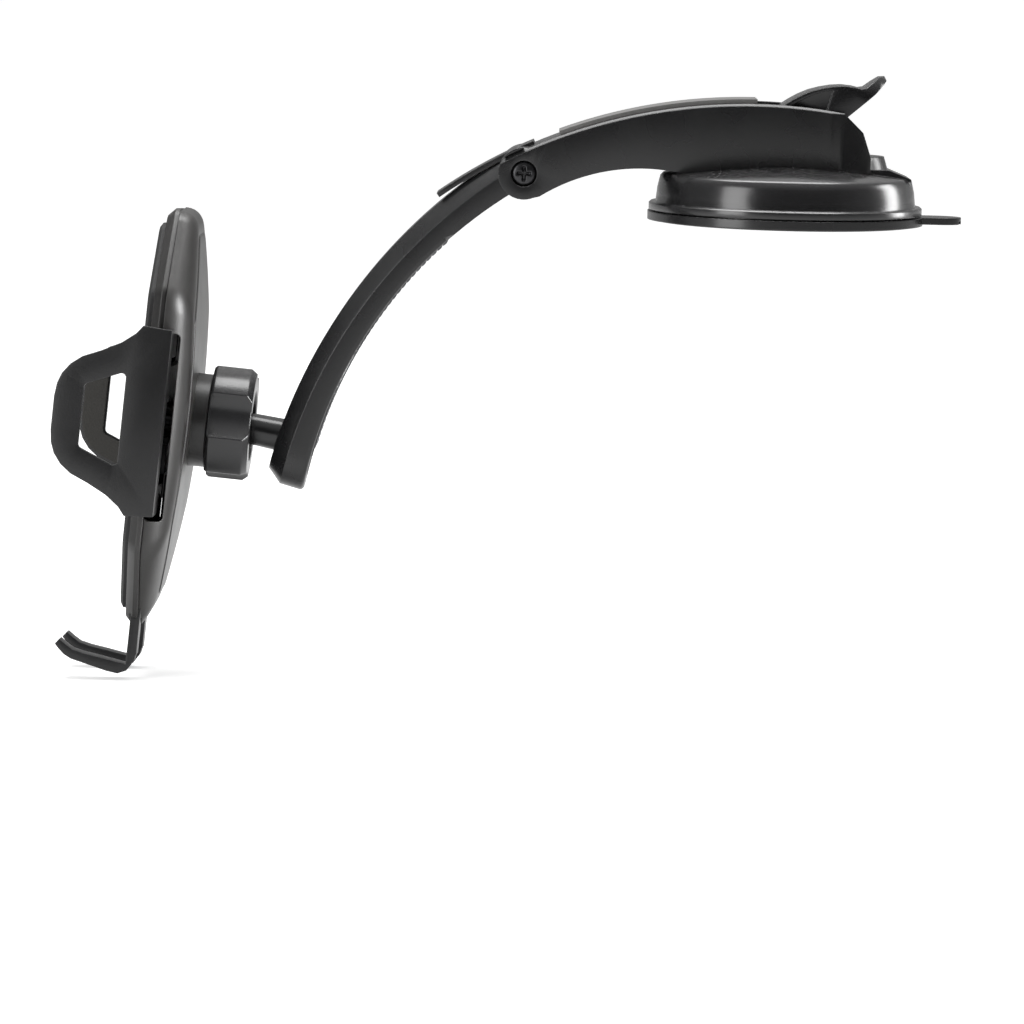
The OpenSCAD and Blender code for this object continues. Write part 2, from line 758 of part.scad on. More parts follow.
module lower_arm() {
    half = fore_w / 2;
    low_r = fore_out_r - fore_bevel_d;
    wide = half + fore_bevel_w * 0.25;
    wide_r = low_r - fore_bevel_d * 0.25;
    cap_low = end_low() - fore_bevel_d * 0.25;
    color([0.17, 0.17, 0.18]) difference() {
        union() {
            intersection() {
                side(fore_w * 2) difference() {
                    intersection() {
                        translate(fore_out_c) circle(r = fore_out_r + cut, $fn = 360);
                        translate(top_c) circle(r = stop_in_r - play, $fn = 360);
                        translate(fore_mid_c)
                            polygon([[0, 0], far * [cos(fore_start_a), sin(fore_start_a)],
                                far * [cos(fore_start_a + 25), sin(fore_start_a + 25)], [-far, 0],
                                [-far, -far / 4]]);
                    }
                    translate(fore_in_c) circle(r = fore_in_r, $fn = 360);
                }
                round_y(fore_out_c)
                    polygon([[fore_out_r - fore_w, -wide], [wide_r, -wide],
                        [fore_out_r, -half + fore_bevel_w],
                    [fore_out_r, half - fore_bevel_w], [wide_r, wide], [fore_out_r - fore_w, wide]]);
                radial(fore_mid_c, fore_end_a) rotate([0, 90, 0]) linear_extrude(far) union() {
                    circle(r = half);
                    translate([0, -half]) square([far, fore_w]);
                }
                radial(fore_mid_c, fore_end_a) union() {
                    translate([0, -fore_w, -far]) cube([far, fore_w * 2, far]);
                    rotate([0, 90, 0]) cylinder(r = wide, h = cap_low);
                    translate([cap_low, 0, 0]) rotate([0, 90, 0])
                        cylinder(r1 = wide, r2 = wide - fore_bevel_w * 1.5, h = fore_bevel_d * 1.5);
                }
            }
            cross_axis(elbow, -barrel_w / 2) cylinder(r = barrel_r, h = barrel_w);
        }
        cross_axis(elbow, -far / 2) cylinder(r = sleeve_r + run_gap, h = far);
        arc_bar(fore_in_c, fore_in_r - barrel_r, fore_in_r + insert_t, insert_start_a, insert_end_a,
            insert_w);
        grip_shape(fore_in_r - barrel_r, fore_in_r + grip_recess, grip_w + play);
        stud_axis() translate([0, 0, stud_out - ball_r]) cylinder(r = spigot_r, h = ball_r + spigot_len);
        stud_axis() cylinder(r = stud_screw_r, h = stud_in + ball_r);
        stud_axis() translate([0, 0, stud_in - grip_recess - stud_head_t])
            cylinder(r = stud_head_r + play, h = ball_r);
    }
}

// Where the end's bevel begins, measured out from the middle curve's centre
function end_low() = let (a = on_circle([0, 0], 1, fore_end_a), q = fore_mid_c - fore_out_c, b = q * a)
    -b + sqrt(b * b - q * q + fore_out_r * fore_out_r) - fore_bevel_d;

// The grip strip's outline on the inner curve, straight at the insert and round at the end
module grip_shape(r0, r1, w) {
    arc_bar(fore_in_c, r0, r1, grip_start_a, grip_end_a, w);
    intersection() {
        arc_bar(fore_in_c, r0, r1, grip_end_a - 1, grip_end_a + 8, w);
        radial(fore_in_c, grip_end_a) rotate([0, 90, 0]) cylinder(r = w / 2, h = far);
    }
}

module hinge_insert() {
    long_a = arc_angle(insert_len * 0.88, fore_in_r);
    tear_a = arc_angle(tear_len, fore_in_r);
    color([0.34, 0.33, 0.34]) difference() {
        arc_bar(fore_in_c, fore_in_r, fore_in_r + insert_t, insert_start_a, insert_end_a, insert_w);
        for (s = [-1, 1]) {
            translate([0, s * (insert_w / 2 - slot_inset - slot_w / 2), 0])
                arc_bar(fore_in_c, fore_in_r - cut, fore_in_r + insert_t / 2, insert_start_a + 0.6,
                    insert_start_a + long_a, slot_w);
            translate([0, s * tear_y, 0])
                arc_bar(fore_in_c, fore_in_r - cut, fore_in_r + insert_t / 2, insert_start_a - 1,
                    insert_start_a + tear_a, tear_w);
        }
    }
}

module grip_strip() {
    color([0.42, 0.42, 0.44]) difference() {
        grip_shape(fore_in_r + grip_recess - grip_t, fore_in_r + grip_recess, grip_w);
    }
}

module ball_stud() {
    color([0.14, 0.14, 0.15]) difference() {
        union() {
            translate([ball[0], 0, ball[1]]) sphere(r = ball_r);
            difference() {
                stud_axis() cylinder(r1 = stem_r, r2 = stem_foot_r, h = stud_out + stem_r);
                cross_axis(fore_out_c, -far / 2) cylinder(r = fore_out_r, h = far, $fn = 360);
            }
            stud_axis() cylinder(r = spigot_r, h = stud_out + spigot_len);
        }
        stud_axis() translate([0, 0, ball_r]) cylinder(r = stud_screw_r, h = far);
    }
}

module stud_screw() {
    head_at = stud_in - grip_recess - stud_head_t;
    color([0.6, 0.6, 0.62]) stud_axis() translate([0, 0, head_at + stud_head_t - play])
        pan_screw(stud_head_r, stud_head_t - play, stud_screw_r, head_at - ball_r - play, 0.6);
}

// Ball joint

module seat_cup() {
    color([0.75, 0.75, 0.73]) cradle_frame() difference() {
        sphere(r = seat_out_r);
        sphere(r = ball_r + seat_gap);
        translate([-seat_ring_x, -far / 2, -far / 2]) cube([far, far, far]);
    }
}

module seat_ring() {
    color([0.75, 0.75, 0.73]) cradle_frame() difference() {
        sphere(r = seat_out_r);
        sphere(r = ball_r + seat_gap);
        translate([seat_ring_x - far, -far / 2, -far / 2]) cube([far, far, far]);
        translate([seat_ring_end, -far / 2, -far / 2]) cube([far, far, far]);
    }
}

module ball_socket() {
    finger_gap = 1.2;
    flange_x = back_x - shell_t;
    color([0.13, 0.13, 0.14]) cradle_frame() difference() {
        round_x()
            polygon([[0, -socket_in_r - flange_t], [flange_r, -socket_in_r - flange_t],
                [flange_r, flange_x], [collar_r, flange_x], [collar_r, nut_left - play],
                [neck_r, nut_left - play], [neck_r, neck_end], [0, neck_end]]);
        sphere(r = socket_in_r);
        rotate([0, 90, 0]) cylinder(r = sqrt(pow(socket_in_r, 2) - pow(seat_ring_end, 2)), h = far);
        for (a = [45:90:135]) rotate([a, 0, 0]) translate([0, -far / 2, -finger_gap / 2])
            cube([far, far, finger_gap]);
        for (a = socket_screw_angles()) rotate([a, 0, 0])
            translate([-far / 2, 0, (flange_r + collar_r) / 2])
            rotate([0, 90, 0]) cylinder(r = socket_screw_r, h = far / 2);
    }
}

function socket_screw_angles() = [for (i = [0:socket_screw_count - 1]) 90 + i * 360 / socket_screw_count];

module socket_screws() {
    color([0.6, 0.6, 0.62]) cradle_frame() for (a = socket_screw_angles())
        rotate([a, 0, 0])
            translate([-socket_in_r - flange_t - socket_head_r / 2, 0, (flange_r + collar_r) / 2])
            rotate([0, -90, 0])
                pan_screw(socket_head_r, socket_head_r / 2, socket_screw_r, socket_screw_len - play, 0.6);
}

module socket_nut() {
    lobe_r = nut_r - valley_depth;
    half_chord = nut_r * sin(22.5);
    dip = nut_r * cos(22.5) - lobe_r;
    valley_r = (half_chord * half_chord + dip * dip) / (2 * dip);
    color([0.12, 0.12, 0.13]) cradle_frame() difference() {
        intersection() {
            round_x()
                polygon([[0, nut_left], [nut_r - nut_chamfer / 2, nut_left],
                    [nut_r, nut_left + nut_chamfer / 2],
                [nut_r, nut_right - nut_chamfer], [nut_r - nut_chamfer, nut_right], [0, nut_right]]);
            translate([nut_left, 0, 0]) rotate([90, 0, 90]) linear_extrude(nut_len) difference() {
                circle(r = nut_r);
                for (i = [0:3]) rotate(i * 90 + 170) translate([lobe_r + valley_r, 0])
                    circle(r = valley_r);
            }
        }
        translate([nut_left - cut, 0, 0]) rotate([0, 90, 0])
            cylinder(r = neck_r + run_gap, h = lip_x - nut_left + cut);
        translate([lip_x - cut, 0, 0]) rotate([0, 90, 0]) cylinder(r = mouth_r, h = far);
        translate([lip_x + play, 0, 0]) rotate([0, 90, 0])
            cylinder(r1 = mouth_r, r2 = mouth_out_r, h = nut_right - lip_x - play);
    }
}

// Cradle housing

// The housing's outline in y and z, drawn in by d, with rounded corners
module body_outline(d, hw = body_hw, top = body_top, bottom = body_bottom, ehw = end_hw) {
    r = shell_round;
    offset(r = r, $fn = 32) offset(delta = -r - d)
        polygon([[ehw, top], [-ehw, top], [-hw, top - end_taper], [-hw, end_taper - bottom],
        [-ehw, -bottom], [ehw, -bottom], [hw, end_taper - bottom], [hw, top - end_taper]]);
}

// The back half as a solid, drawn in by d on every side
module back_solid(d) {
    thin = cut / 10;
    intersection() {
        hull() {
            plate(part_x + parting_gap + thin, part_x - (d > 0 ? cut : 0)) body_outline(d);
            for (p = back_step_shares)
                plate(back_x - p[0] * end_drop - d, back_x - p[0] * end_drop - d - thin)
                body_outline(d, body_hw - p[1] * end_drop, body_top - p[2] * end_drop * top_drop_share,
                    body_bottom - p[2] * end_drop * low_drop_share);
            plate(back_x - d, back_x - thin - d)
                body_outline(d, panel_hw, panel_top, panel_bottom, panel_end_hw);
        }
        crown(d);
    }
}

// The bowed back of the housing
module crown(d) translate([back_x - d - crown_r, 0, crown_z]) rotate([90, 0, 0])
    cylinder(r = crown_r, h = far, center = true, $fn = 360);

module screw_posts(r, x0, x1) for (p = screw_places)
    translate([x1, p[0], p[1]]) rotate([0, 90, 0]) cylinder(r = r, h = x0 - x1);

// Openings in the housing's sides and bottom, shared by both shells
module body_openings() {
    slot_h = clamp_hh * 2 + play;
    translate([slide_front - play, -far / 2, -slot_h / 2]) cube([slide_t + 2 * play, far, slot_h]);
    translate([foot_front - play / 2, -foot_w / 2 - play, -far])
        cube([foot_t + play, foot_w + 2 * play, far + foot_in_z]);
    translate([slide_front - play, 0, button_z - button_h / 2 - play])
        cube([slide_t + 2 * play, far, button_h + 2 * play]);
}

module back_shell() {
    color([0.14, 0.14, 0.15]) cradle_frame() difference() {
        union() {
            difference() {
                back_solid(0);
                back_solid(shell_t);
            }
            intersection() {
                back_solid(0);
                union() {
                    screw_posts(boss_r, far, part_x);
                    translate([slide_front, pawl_pivot[0], pawl_pivot[1]]) rotate([0, 90, 0])
                        translate([0, 0, slide_t + play]) cylinder(r = pawl_hub_r, h = far);
                }
            }
        }
        rotate([0, 90, 0]) translate([0, 0, -far]) cylinder(r = collar_r, h = 2 * far);
        for (a = socket_screw_angles()) rotate([a, 0, 0])
            translate([-socket_in_r - flange_t, 0, (flange_r + collar_r) / 2])
                rotate([0, 90, 0]) cylinder(r = socket_screw_r, h = socket_screw_len);
        translate([part_x - cut, 0, 0]) screw_posts(shell_screw_r, cut + shell_head_t * 3 + play, 0);
        body_openings();
        for (s = [-1, 1]) translate([slide_x, s * (body_hw + far / 2 - rebate_t), 0])
            cube([2 * rebate_w, far, 2 * (clamp_hh + play)], center = true);
        pawl_pin_space();
    }
}

module pawl_pin_space() translate([slide_front, pawl_pivot[0], pawl_pivot[1]]) rotate([0, 90, 0])
    cylinder(r = pawl_pin_r, h = slide_t * 2);

module front_shell() {
    color([0.17, 0.17, 0.18]) cradle_frame() difference() {
        hull() {
            plate(part_x, part_x - front_t) body_outline(0);
            plate(front_x + front_t, front_x) body_outline(front_inset);
        }
        plate(part_x + cut, front_x + front_t) body_outline(shell_t + front_inset * 0.4);
        body_openings();
        screw_posts(shell_screw_r, far, front_x - far / 2);
        for (p = screw_places) translate([front_x - cut, p[0], p[1]]) rotate([0, 90, 0])
            cylinder(r = shell_head_r + play / 2, h = cut + shell_head_t);
        translate([front_x - far / 2, 0, 0]) rotate([0, 90, 0]) cylinder(r = pinion_bore, h = far);
    }
}

module front_pad() {
    color([0.1, 0.1, 0.1]) cradle_frame() hull() {
        plate(front_x, front_x - pad_t * 0.6) body_outline(pad_inset);
        plate(front_x - pad_t * 0.6, front_x - pad_t) body_outline(pad_inset + pad_t * 0.6);
    }
}

module shell_screws() {
    color([0.6, 0.6, 0.62]) cradle_frame() for (p = screw_places)
        translate([front_x, p[0], p[1]]) rotate([0, -90, 0])
            pan_screw(shell_head_r, shell_head_t - play / 2, shell_screw_r,
                part_x - front_x + shell_head_t * 2, 0.6);
}

// Clamps

// One side of an involute tooth, from radius r0 to r1
function involute(rb, r) = r <= rb ? 0 : (sqrt(r * r / (rb * rb) - 1) * 180 / PI - acos(rb / r));

module pinion() {
    base_r = pitch_r * cos(pressure);
    tip_r = pitch_r + addendum;
    root_r = pitch_r - dedendum;
    half_tooth = 90 / teeth - tooth_gap / 4 / pitch_r * 180 / PI + involute(base_r, pitch_r);
    steps = 6;
    flank = [for (i = [0:steps]) let (r = max(root_r, base_r) + (tip_r - max(root_r, base_r)) * i / steps)
        [r, half_tooth - involute(base_r, r)]];
    color([0.8, 0.8, 0.78]) cradle_frame() plate(slide_x - play / 3, slide_front - play / 3) difference() {
        union() {
            circle(r = root_r);
            for (i = [0:teeth - 1]) rotate(i * 360 / teeth) polygon(concat(
                [[root_r * 0.9 * cos(half_tooth), -root_r * 0.9 * sin(half_tooth)]],
                [for (f = flank) [f[0] * cos(f[1]), -f[0] * sin(f[1])]],
                [for (i = [steps:-1:0]) [flank[i][0] * cos(flank[i][1]), flank[i][0] * sin(flank[i][1])]],
                [[root_r * 0.9 * cos(half_tooth), root_r * 0.9 * sin(half_tooth)]]));
        }
        circle(r = pinion_bore + run_gap);
    }
}

module pinion_pin() {
    color([0.65, 0.65, 0.67]) cradle_frame() translate([front_x + play, 0, 0]) rotate([0, 90, 0])
        cylinder(r = pinion_bore, h = -socket_in_r - flange_t - front_x - play);
}

module pinion_spring() {
    wire = 0.5;
    turns = 3;
    r0 = pinion_bore + wire;
    r1 = pitch_r + gear_module * 2;
    steps = 24 * turns;
    spring_x = slide_x + play;
    function spiral(i, d) = let (r = r0 + (r1 - r0) * i / steps + d, a = i * 15) [r * cos(a), r * sin(a)];
    color([0.7, 0.7, 0.72]) cradle_frame() plate(spring_x + gear_module, spring_x) polygon(concat(
        [for (i = [0:steps]) spiral(i, wire / 2)], [for (i = [steps:-1:0]) spiral(i, -wire / 2)]));
}

// The rack's edge: pitch line at z = pitch_r, teeth pointing down, along y from y0 to y1
module rack_teeth(y0, y1) {
    pitch = PI * gear_module;
    first = ceil(y0 / pitch - 0.5);
    last = floor(y1 / pitch - 0.5);
    half = pitch / 4 - tooth_gap / 4;
    slope = tan(pressure);
    for (i = [first:last]) translate([(i + 0.5) * pitch, pitch_r]) polygon([
        [-half - (dedendum + gear_module / 4) * slope, dedendum + gear_module / 4],
        [-half + addendum * slope, -addendum], [half - addendum * slope, -addendum],
        [half + (dedendum + gear_module / 4) * slope, dedendum + gear_module / 4]]);
}

// The near clamp, in the cradle's frame, with its slide reaching past the pinion
module clamp_shape() {
    root_z = pitch_r + dedendum;
    in_y = clamp_y - clamp_t;
    plate(slide_x, slide_front) {
        translate([-in_y - cut, -clamp_hh]) square([in_y + cut - slide_root_in, 2 * clamp_hh]);
        for (s = [-1, 1]) difference() {
            translate([-in_y, s > 0 ? clamp_hh - rail_w : -clamp_hh]) square([in_y - rail_in, rail_w]);
            if (s > 0) for (y = [-in_y + serration * 2:serration:-rail_in - serration])
                translate([y, clamp_hh - serration_d]) square([serration / 2, serration_d + cut]);
        }
        translate([-in_y, root_z]) square([in_y + tongue_tip, rack_top - root_z]);
        rack_teeth(-slide_root_in + pitch_r, tongue_tip);
    }
    rotate([90, 0, 0]) translate([0, 0, clamp_y - clamp_t]) linear_extrude(clamp_t) difference() {
        wing_outline(0);
        wing_window(0);
    }
}

// Points of the wing, as shares of its reach and half height
wing_shares = [[0, 1], [0.26, 1.02], [0.32, 0.93], [0.44, 0.82], [0.62, 0.71], [0.78, 0.63],
    [0.88, 0.54], [0.95, 0.43],
    [0.985, 0.32], [1, 0.18]];
window_shares = [[0.37, 0.515], [0.74, 0.335]];

module wing_outline(d) {
    half = [for (p = wing_shares) [slide_x - p[0] * clamp_reach, p[1] * clamp_hh]];
    offset(delta = -d) polygon(concat(half, [for (i = [len(half) - 1:-1:0]) [half[i][0], -half[i][1]]]));
}

module wing_window(d) {
    a = [slide_x - window_shares[0][0] * clamp_reach, window_shares[0][1] * clamp_hh];
    b = [slide_x - window_shares[1][0] * clamp_reach, window_shares[1][1] * clamp_hh];
    offset(r = window_gap + d, $fn = 24) offset(delta = -window_gap)
        polygon([a, b, [b[0], -b[1]], [a[0], -a[1]]]);
}

module pad_shape() {
    lip = 1;
    rotate([90, 0, 0]) translate([0, 0, clamp_y - clamp_t - clamp_pad_t]) linear_extrude(clamp_pad_t)
        difference() {
        intersection() {
            wing_outline(lip);
            translate([-far + clamp_wing_x, -far / 2]) square([far, far]);
        }
        wing_window(lip / 2);
    }
}

module clamp_near() color([0.18, 0.18, 0.19]) cradle_frame() clamp_shape();
module clamp_pad_near() color([0.1, 0.1, 0.1]) cradle_frame() pad_shape();
module clamp_far() color([0.18, 0.18, 0.19]) cradle_frame() far_side() clamp_shape();
module clamp_pad_far() color([0.1, 0.1, 0.1]) cradle_frame() far_side() pad_shape();

// Turns the near clamp half round the pinion to make the far one
module far_side() rotate([180, 0, 0]) children();

// Foot

// Side view of a hook: shares of hook_reach forward of foot_x and above foot_bend_z
hook_shares = [[0.116, -0.125], [0.265, -0.103], [0.428, -0.077], [0.643, -0.047], [0.781, -0.017],
    [0.867, 0.034], [0.953, 0.095], [1, 0.034], [0.948, -0.022], [0.88, -0.082], [0.789, -0.129],
    [0.587, -0.176], [0.338, -0.232], [0.202, -0.249], [0.097, -0.202], [0.024, -0.086], [0, 0.043]];

module foot() {
    color([0.17, 0.17, 0.18]) cradle_frame() {
        plate(foot_x, foot_front) difference() {
            translate([-foot_w / 2, foot_bend_z]) square([foot_w, foot_in_z - foot_bend_z]);
            translate([-foot_w / 2 + hook_w, foot_bend_z - cut])
                square([foot_w - 2 * hook_w, cut + foot_slot_w]);
        }
        for (s = [-1, 1]) translate([0, s * hook_pitch / 2, 0]) rotate([90, 0, 0])
            linear_extrude(hook_w, center = true)
            polygon(concat([[foot_x, foot_bend_z + foot_t], [foot_front, foot_bend_z + foot_t]],
                [for (p = hook_shares) [foot_x - p[0] * hook_reach, foot_bend_z + p[1] * hook_reach]]));
    }
}

module release_button() {
    rod_x = (slide_x + slide_front) / 2;
    color([0.2, 0.2, 0.21]) cradle_frame() {
        translate([slide_front, button_in_y, button_z - button_h / 2])
            cube([slide_t, button_out_y - button_in_y, button_h]);
        translate([slide_front + play, rod_in_y, button_z - rod_r])
            cube([slide_t - 2 * play, button_in_y - rod_in_y, rod_r * 2]);
    }
}

module button_spring() {
    color([0.7, 0.7, 0.72]) cradle_frame()
        translate([(slide_x + slide_front) / 2, button_in_y - button_spring_len - button_gap,
            button_z + rod_r * 2])
        rotate([-90, 0, 0])
            coil(button_spring_wire, button_spring_turns, rod_r * 0.6, button_spring_len, 6, 12);
}

module pawl() {
    tip_w = serration * 0.3;
    color([0.75, 0.75, 0.73]) cradle_frame() plate(slide_x - play / 2, slide_front + play / 2)
        difference() {
        union() {
            translate(pawl_pivot) circle(r = pawl_hub_r);
            hull() {
                translate(pawl_pivot) circle(r = pawl_t / 2);
                translate([pawl_tip[0], pawl_tip[1] - pawl_t * 1.5]) circle(r = pawl_t / 2);
            }
            translate([pawl_tip[0] - tip_w, pawl_tip[1] - pawl_t * 1.5]) square([tip_w * 2, pawl_t * 1.5]);
            translate([pawl_pivot[0] - pawl_t / 2, pawl_tail_z])
                square([pawl_t, pawl_pivot[1] - pawl_tail_z]);
        }
        translate(pawl_pivot) circle(r = pawl_pin_r + run_gap);
    }
}

module pawl_pin() color([0.65, 0.65, 0.67]) cradle_frame() pawl_pin_space();

suction_cup();
base_housing();
cup_stem();
stem_spring();
lever();
lever_pin();
upper_arm();
top_strip();
arm_screws();
elbow_screws();
elbow_sleeve();
elbow_washers();
lower_arm();
hinge_insert();
grip_strip();
ball_stud();
stud_screw();
seat_cup();
seat_ring();
ball_socket();
socket_screws();
socket_nut();
back_shell();
front_shell();
front_pad();
shell_screws();
clamp_near();
clamp_pad_near();
clamp_far();
clamp_pad_far();
pinion();
pinion_pin();
pinion_spring();
foot();
release_button();
button_spring();
pawl();
pawl_pin();
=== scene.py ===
"""Looks of a dashboard phone mount: finishes, fine detail, studio and camera, on the frame."""

import logging
import math
from dataclasses import dataclass
from enum import Enum
from typing import Callable, Sequence

import bmesh
import bpy
from mathutils import Matrix, Vector


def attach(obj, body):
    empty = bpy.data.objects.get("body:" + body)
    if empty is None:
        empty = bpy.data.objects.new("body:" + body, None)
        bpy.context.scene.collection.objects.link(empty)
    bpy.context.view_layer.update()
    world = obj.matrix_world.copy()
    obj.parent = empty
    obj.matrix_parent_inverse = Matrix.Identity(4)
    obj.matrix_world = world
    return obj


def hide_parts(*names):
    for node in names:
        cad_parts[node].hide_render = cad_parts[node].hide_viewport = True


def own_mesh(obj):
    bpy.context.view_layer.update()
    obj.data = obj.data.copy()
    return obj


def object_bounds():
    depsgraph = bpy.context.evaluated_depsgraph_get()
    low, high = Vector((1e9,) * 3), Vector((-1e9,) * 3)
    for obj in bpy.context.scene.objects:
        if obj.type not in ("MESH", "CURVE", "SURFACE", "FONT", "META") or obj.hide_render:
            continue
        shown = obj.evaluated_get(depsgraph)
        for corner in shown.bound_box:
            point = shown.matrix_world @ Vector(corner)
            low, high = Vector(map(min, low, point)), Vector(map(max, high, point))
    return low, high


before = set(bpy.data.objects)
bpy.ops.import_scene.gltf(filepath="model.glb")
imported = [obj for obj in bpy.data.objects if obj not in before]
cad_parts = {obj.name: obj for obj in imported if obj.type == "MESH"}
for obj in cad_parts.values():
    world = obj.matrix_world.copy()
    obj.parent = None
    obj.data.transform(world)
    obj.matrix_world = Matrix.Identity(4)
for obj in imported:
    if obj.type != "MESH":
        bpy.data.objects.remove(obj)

CAD_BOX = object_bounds()
MM = 0.001
UNIT = (0.0, 1.0)
WHITE = (1.0, 1.0, 1.0, 1.0)
MIX_FACTOR, MIX_A, MIX_B, MIX_RESULT = 0, 6, 7, 2  # sockets of a Mix node for colours
log = logging.getLogger("phone_mount")

Colour = tuple[float, float, float]
Point = tuple[float, float, float]
Span = tuple[float, float]
Octagon = tuple[float, float, float, float, float]
Sockets = bpy.types.bpy_prop_collection


class Body(str, Enum):
    """The moving bodies that pieces ride on."""

    BASE = "base"
    STEM = "stem"
    LEVER = "lever"
    LOWER_ARM = "lower_arm"
    CRADLE = "cradle"
    NUT = "socket_nut"
    NEAR = "clamp_near"
    FAR = "clamp_far"
    FOOT = "foot"


class Slot(str, Enum):
    """The record's material slots."""

    BASE = "base_plastic"
    ARM = "arm_plastic"
    LEVER = "lever_plastic"
    CRADLE = "cradle_plastic"
    NUT = "nut_plastic"
    CUP = "cup_rubber"
    WEAVE = "grip_weave"
    STEEL = "steel"
    DARK_STEEL = "dark_steel"


# --- node wiring


class Wiring:
    """Adds nodes to one tree and joins their sockets."""

    def __init__(self, tree: bpy.types.NodeTree) -> None:
        """Keeps the tree.

        Args:
            tree: the node tree that nodes are added to.
        """
        self.tree = tree

    def add(self, kind: str, inputs: dict | None = None, **settings: object) -> bpy.types.Node:
        """Adds a node.

        Args:
            kind: Blender's type name of the node.
            inputs: values or sockets for its inputs, by name or place.
            settings: properties of the node.

        Returns:
            The node.
        """
        node = self.tree.nodes.new(kind)
        for key, value in settings.items():
            setattr(node, key, value)
        for key, value in (inputs or {}).items():
            if isinstance(value, bpy.types.NodeSocket):
                self.tree.links.new(value, node.inputs[key])
            else:
                node.inputs[key].default_value = value
        return node

    def maths(self, operation: str, a: object, b: object = 0.0,
              clamp: bool = False) -> bpy.types.NodeSocket:
        """Adds one Math node.

        Args:
            operation: its operation.
            a: first value or socket.
            b: second value or socket.
            clamp: holds the result from 0 to 1.

        Returns:
            Its output socket.
        """
        return self.add("ShaderNodeMath", {0: a, 1: b}, operation=operation,
                        use_clamp=clamp).outputs[0]

    def spread(self, value: object, span: Span, onto: Span) -> bpy.types.NodeSocket:
        """Maps one range of a value onto another, smoothly.

        Args:
            value: the socket that is mapped.
            span: start and end of its range.
            onto: what the start and the end become.

        Returns:
            The mapped socket.
        """
        return self.add("ShaderNodeMapRange",
                        {"Value": value, "From Min": span[0], "From Max": span[1],
                         "To Min": onto[0], "To Max": onto[1]},
                        interpolation_type="SMOOTHSTEP").outputs[0]

    def join(self, source: bpy.types.NodeSocket, target: bpy.types.NodeSocket) -> None:
        """Links two sockets.

        Args:
            source: the output that is read.
            target: the input that is fed.
        """
        self.tree.links.new(source, target)


def cleared(owner: bpy.types.Material | bpy.types.World) -> Wiring:
    """Empties the node tree of a material or a world.

    Args:
        owner: the material or world.

    Returns:
        The wiring of its empty tree.
    """
    owner.use_nodes = True
    owner.node_tree.nodes.clear()
    return Wiring(owner.node_tree)


def node_group(name: str, kind: str, inputs: dict[str, str], outputs: dict[str, str],
               ) -> tuple[bpy.types.NodeTree, Wiring, Sockets, Sockets]:
    """Starts a node group.

    Args:
        name: the group's name.
        kind: Shader or Geometry.
        inputs: name and kind of each input, such as Float or Vector.
        outputs: name and kind of each output.

    Returns:
        The tree, its wiring, the sockets that it is given and those that it fills.
    """
    tree = bpy.data.node_groups.new(name, kind + "NodeTree")
    for way, sockets in (("INPUT", inputs), ("OUTPUT", outputs)):
        for label, sort in sockets.items():
            tree.interface.new_socket(label, in_out=way, socket_type="NodeSocket" + sort)
    w = Wiring(tree)
    return tree, w, w.add("NodeGroupInput").outputs, w.add("NodeGroupOutput").inputs


PIT_SOFTNESS, PIT_SHARE = 0.6, 0.7
CLOUD_SPAN, CLOUD_SHADE, CLOUD_ROUGHNESS = (0.3, 0.7), (0.93, 1.06), (-0.02, 0.02)
SPECK_SPAN, SPECK_SHADE = (0.35, 0.65), (-0.05, 0.05)


def moulded_grain() -> bpy.types.NodeTree:
    """The fine texture of a moulded surface, with faint flow clouds; its sizes are in millimetres.

    Returns:
        A group that gives a height, a shade and a roughness change.
    """
    tree, w, given, out = node_group(
        "moulded_grain", "Shader", {"Grain Size": "Float", "Cloud Size": "Float"},
        {"Height": "Float", "Shade": "Float", "Roughness": "Float"})
    place = w.add("ShaderNodeTexCoord").outputs["Object"]
    fine = w.maths("DIVIDE", 1 / MM, given["Grain Size"])
    broad = w.maths("DIVIDE", 1 / MM, given["Cloud Size"])
    pits = w.add("ShaderNodeTexVoronoi",
                 {"Vector": place, "Scale": fine, "Smoothness": PIT_SOFTNESS}, feature="SMOOTH_F1")
    speck = w.add("ShaderNodeTexNoise", {"Vector": place, "Scale": fine}).outputs[0]
    cloud = w.add("ShaderNodeTexNoise", {"Vector": place, "Scale": broad}).outputs[0]
    height = w.maths("ADD", w.maths("MULTIPLY", pits.outputs["Distance"], PIT_SHARE), speck)
    shade = w.maths("ADD", w.spread(cloud, CLOUD_SPAN, CLOUD_SHADE),
                    w.spread(speck, SPECK_SPAN, SPECK_SHADE))
    w.join(height, out["Height"])
    w.join(shade, out["Shade"])
    w.join(w.spread(cloud, CLOUD_SPAN, CLOUD_ROUGHNESS), out["Roughness"])
    return tree


BEVEL_SAMPLES = 6
RUB_SCALE, RUB_DETAIL = 260.0, 4.0
RUB_TURN = (0.99, 0.8)  # cosine between the true and the softened normal, from flat to worn
RUB_SPAN, RUB_SHARE = (0.38, 0.62), (0.35, 1.0)


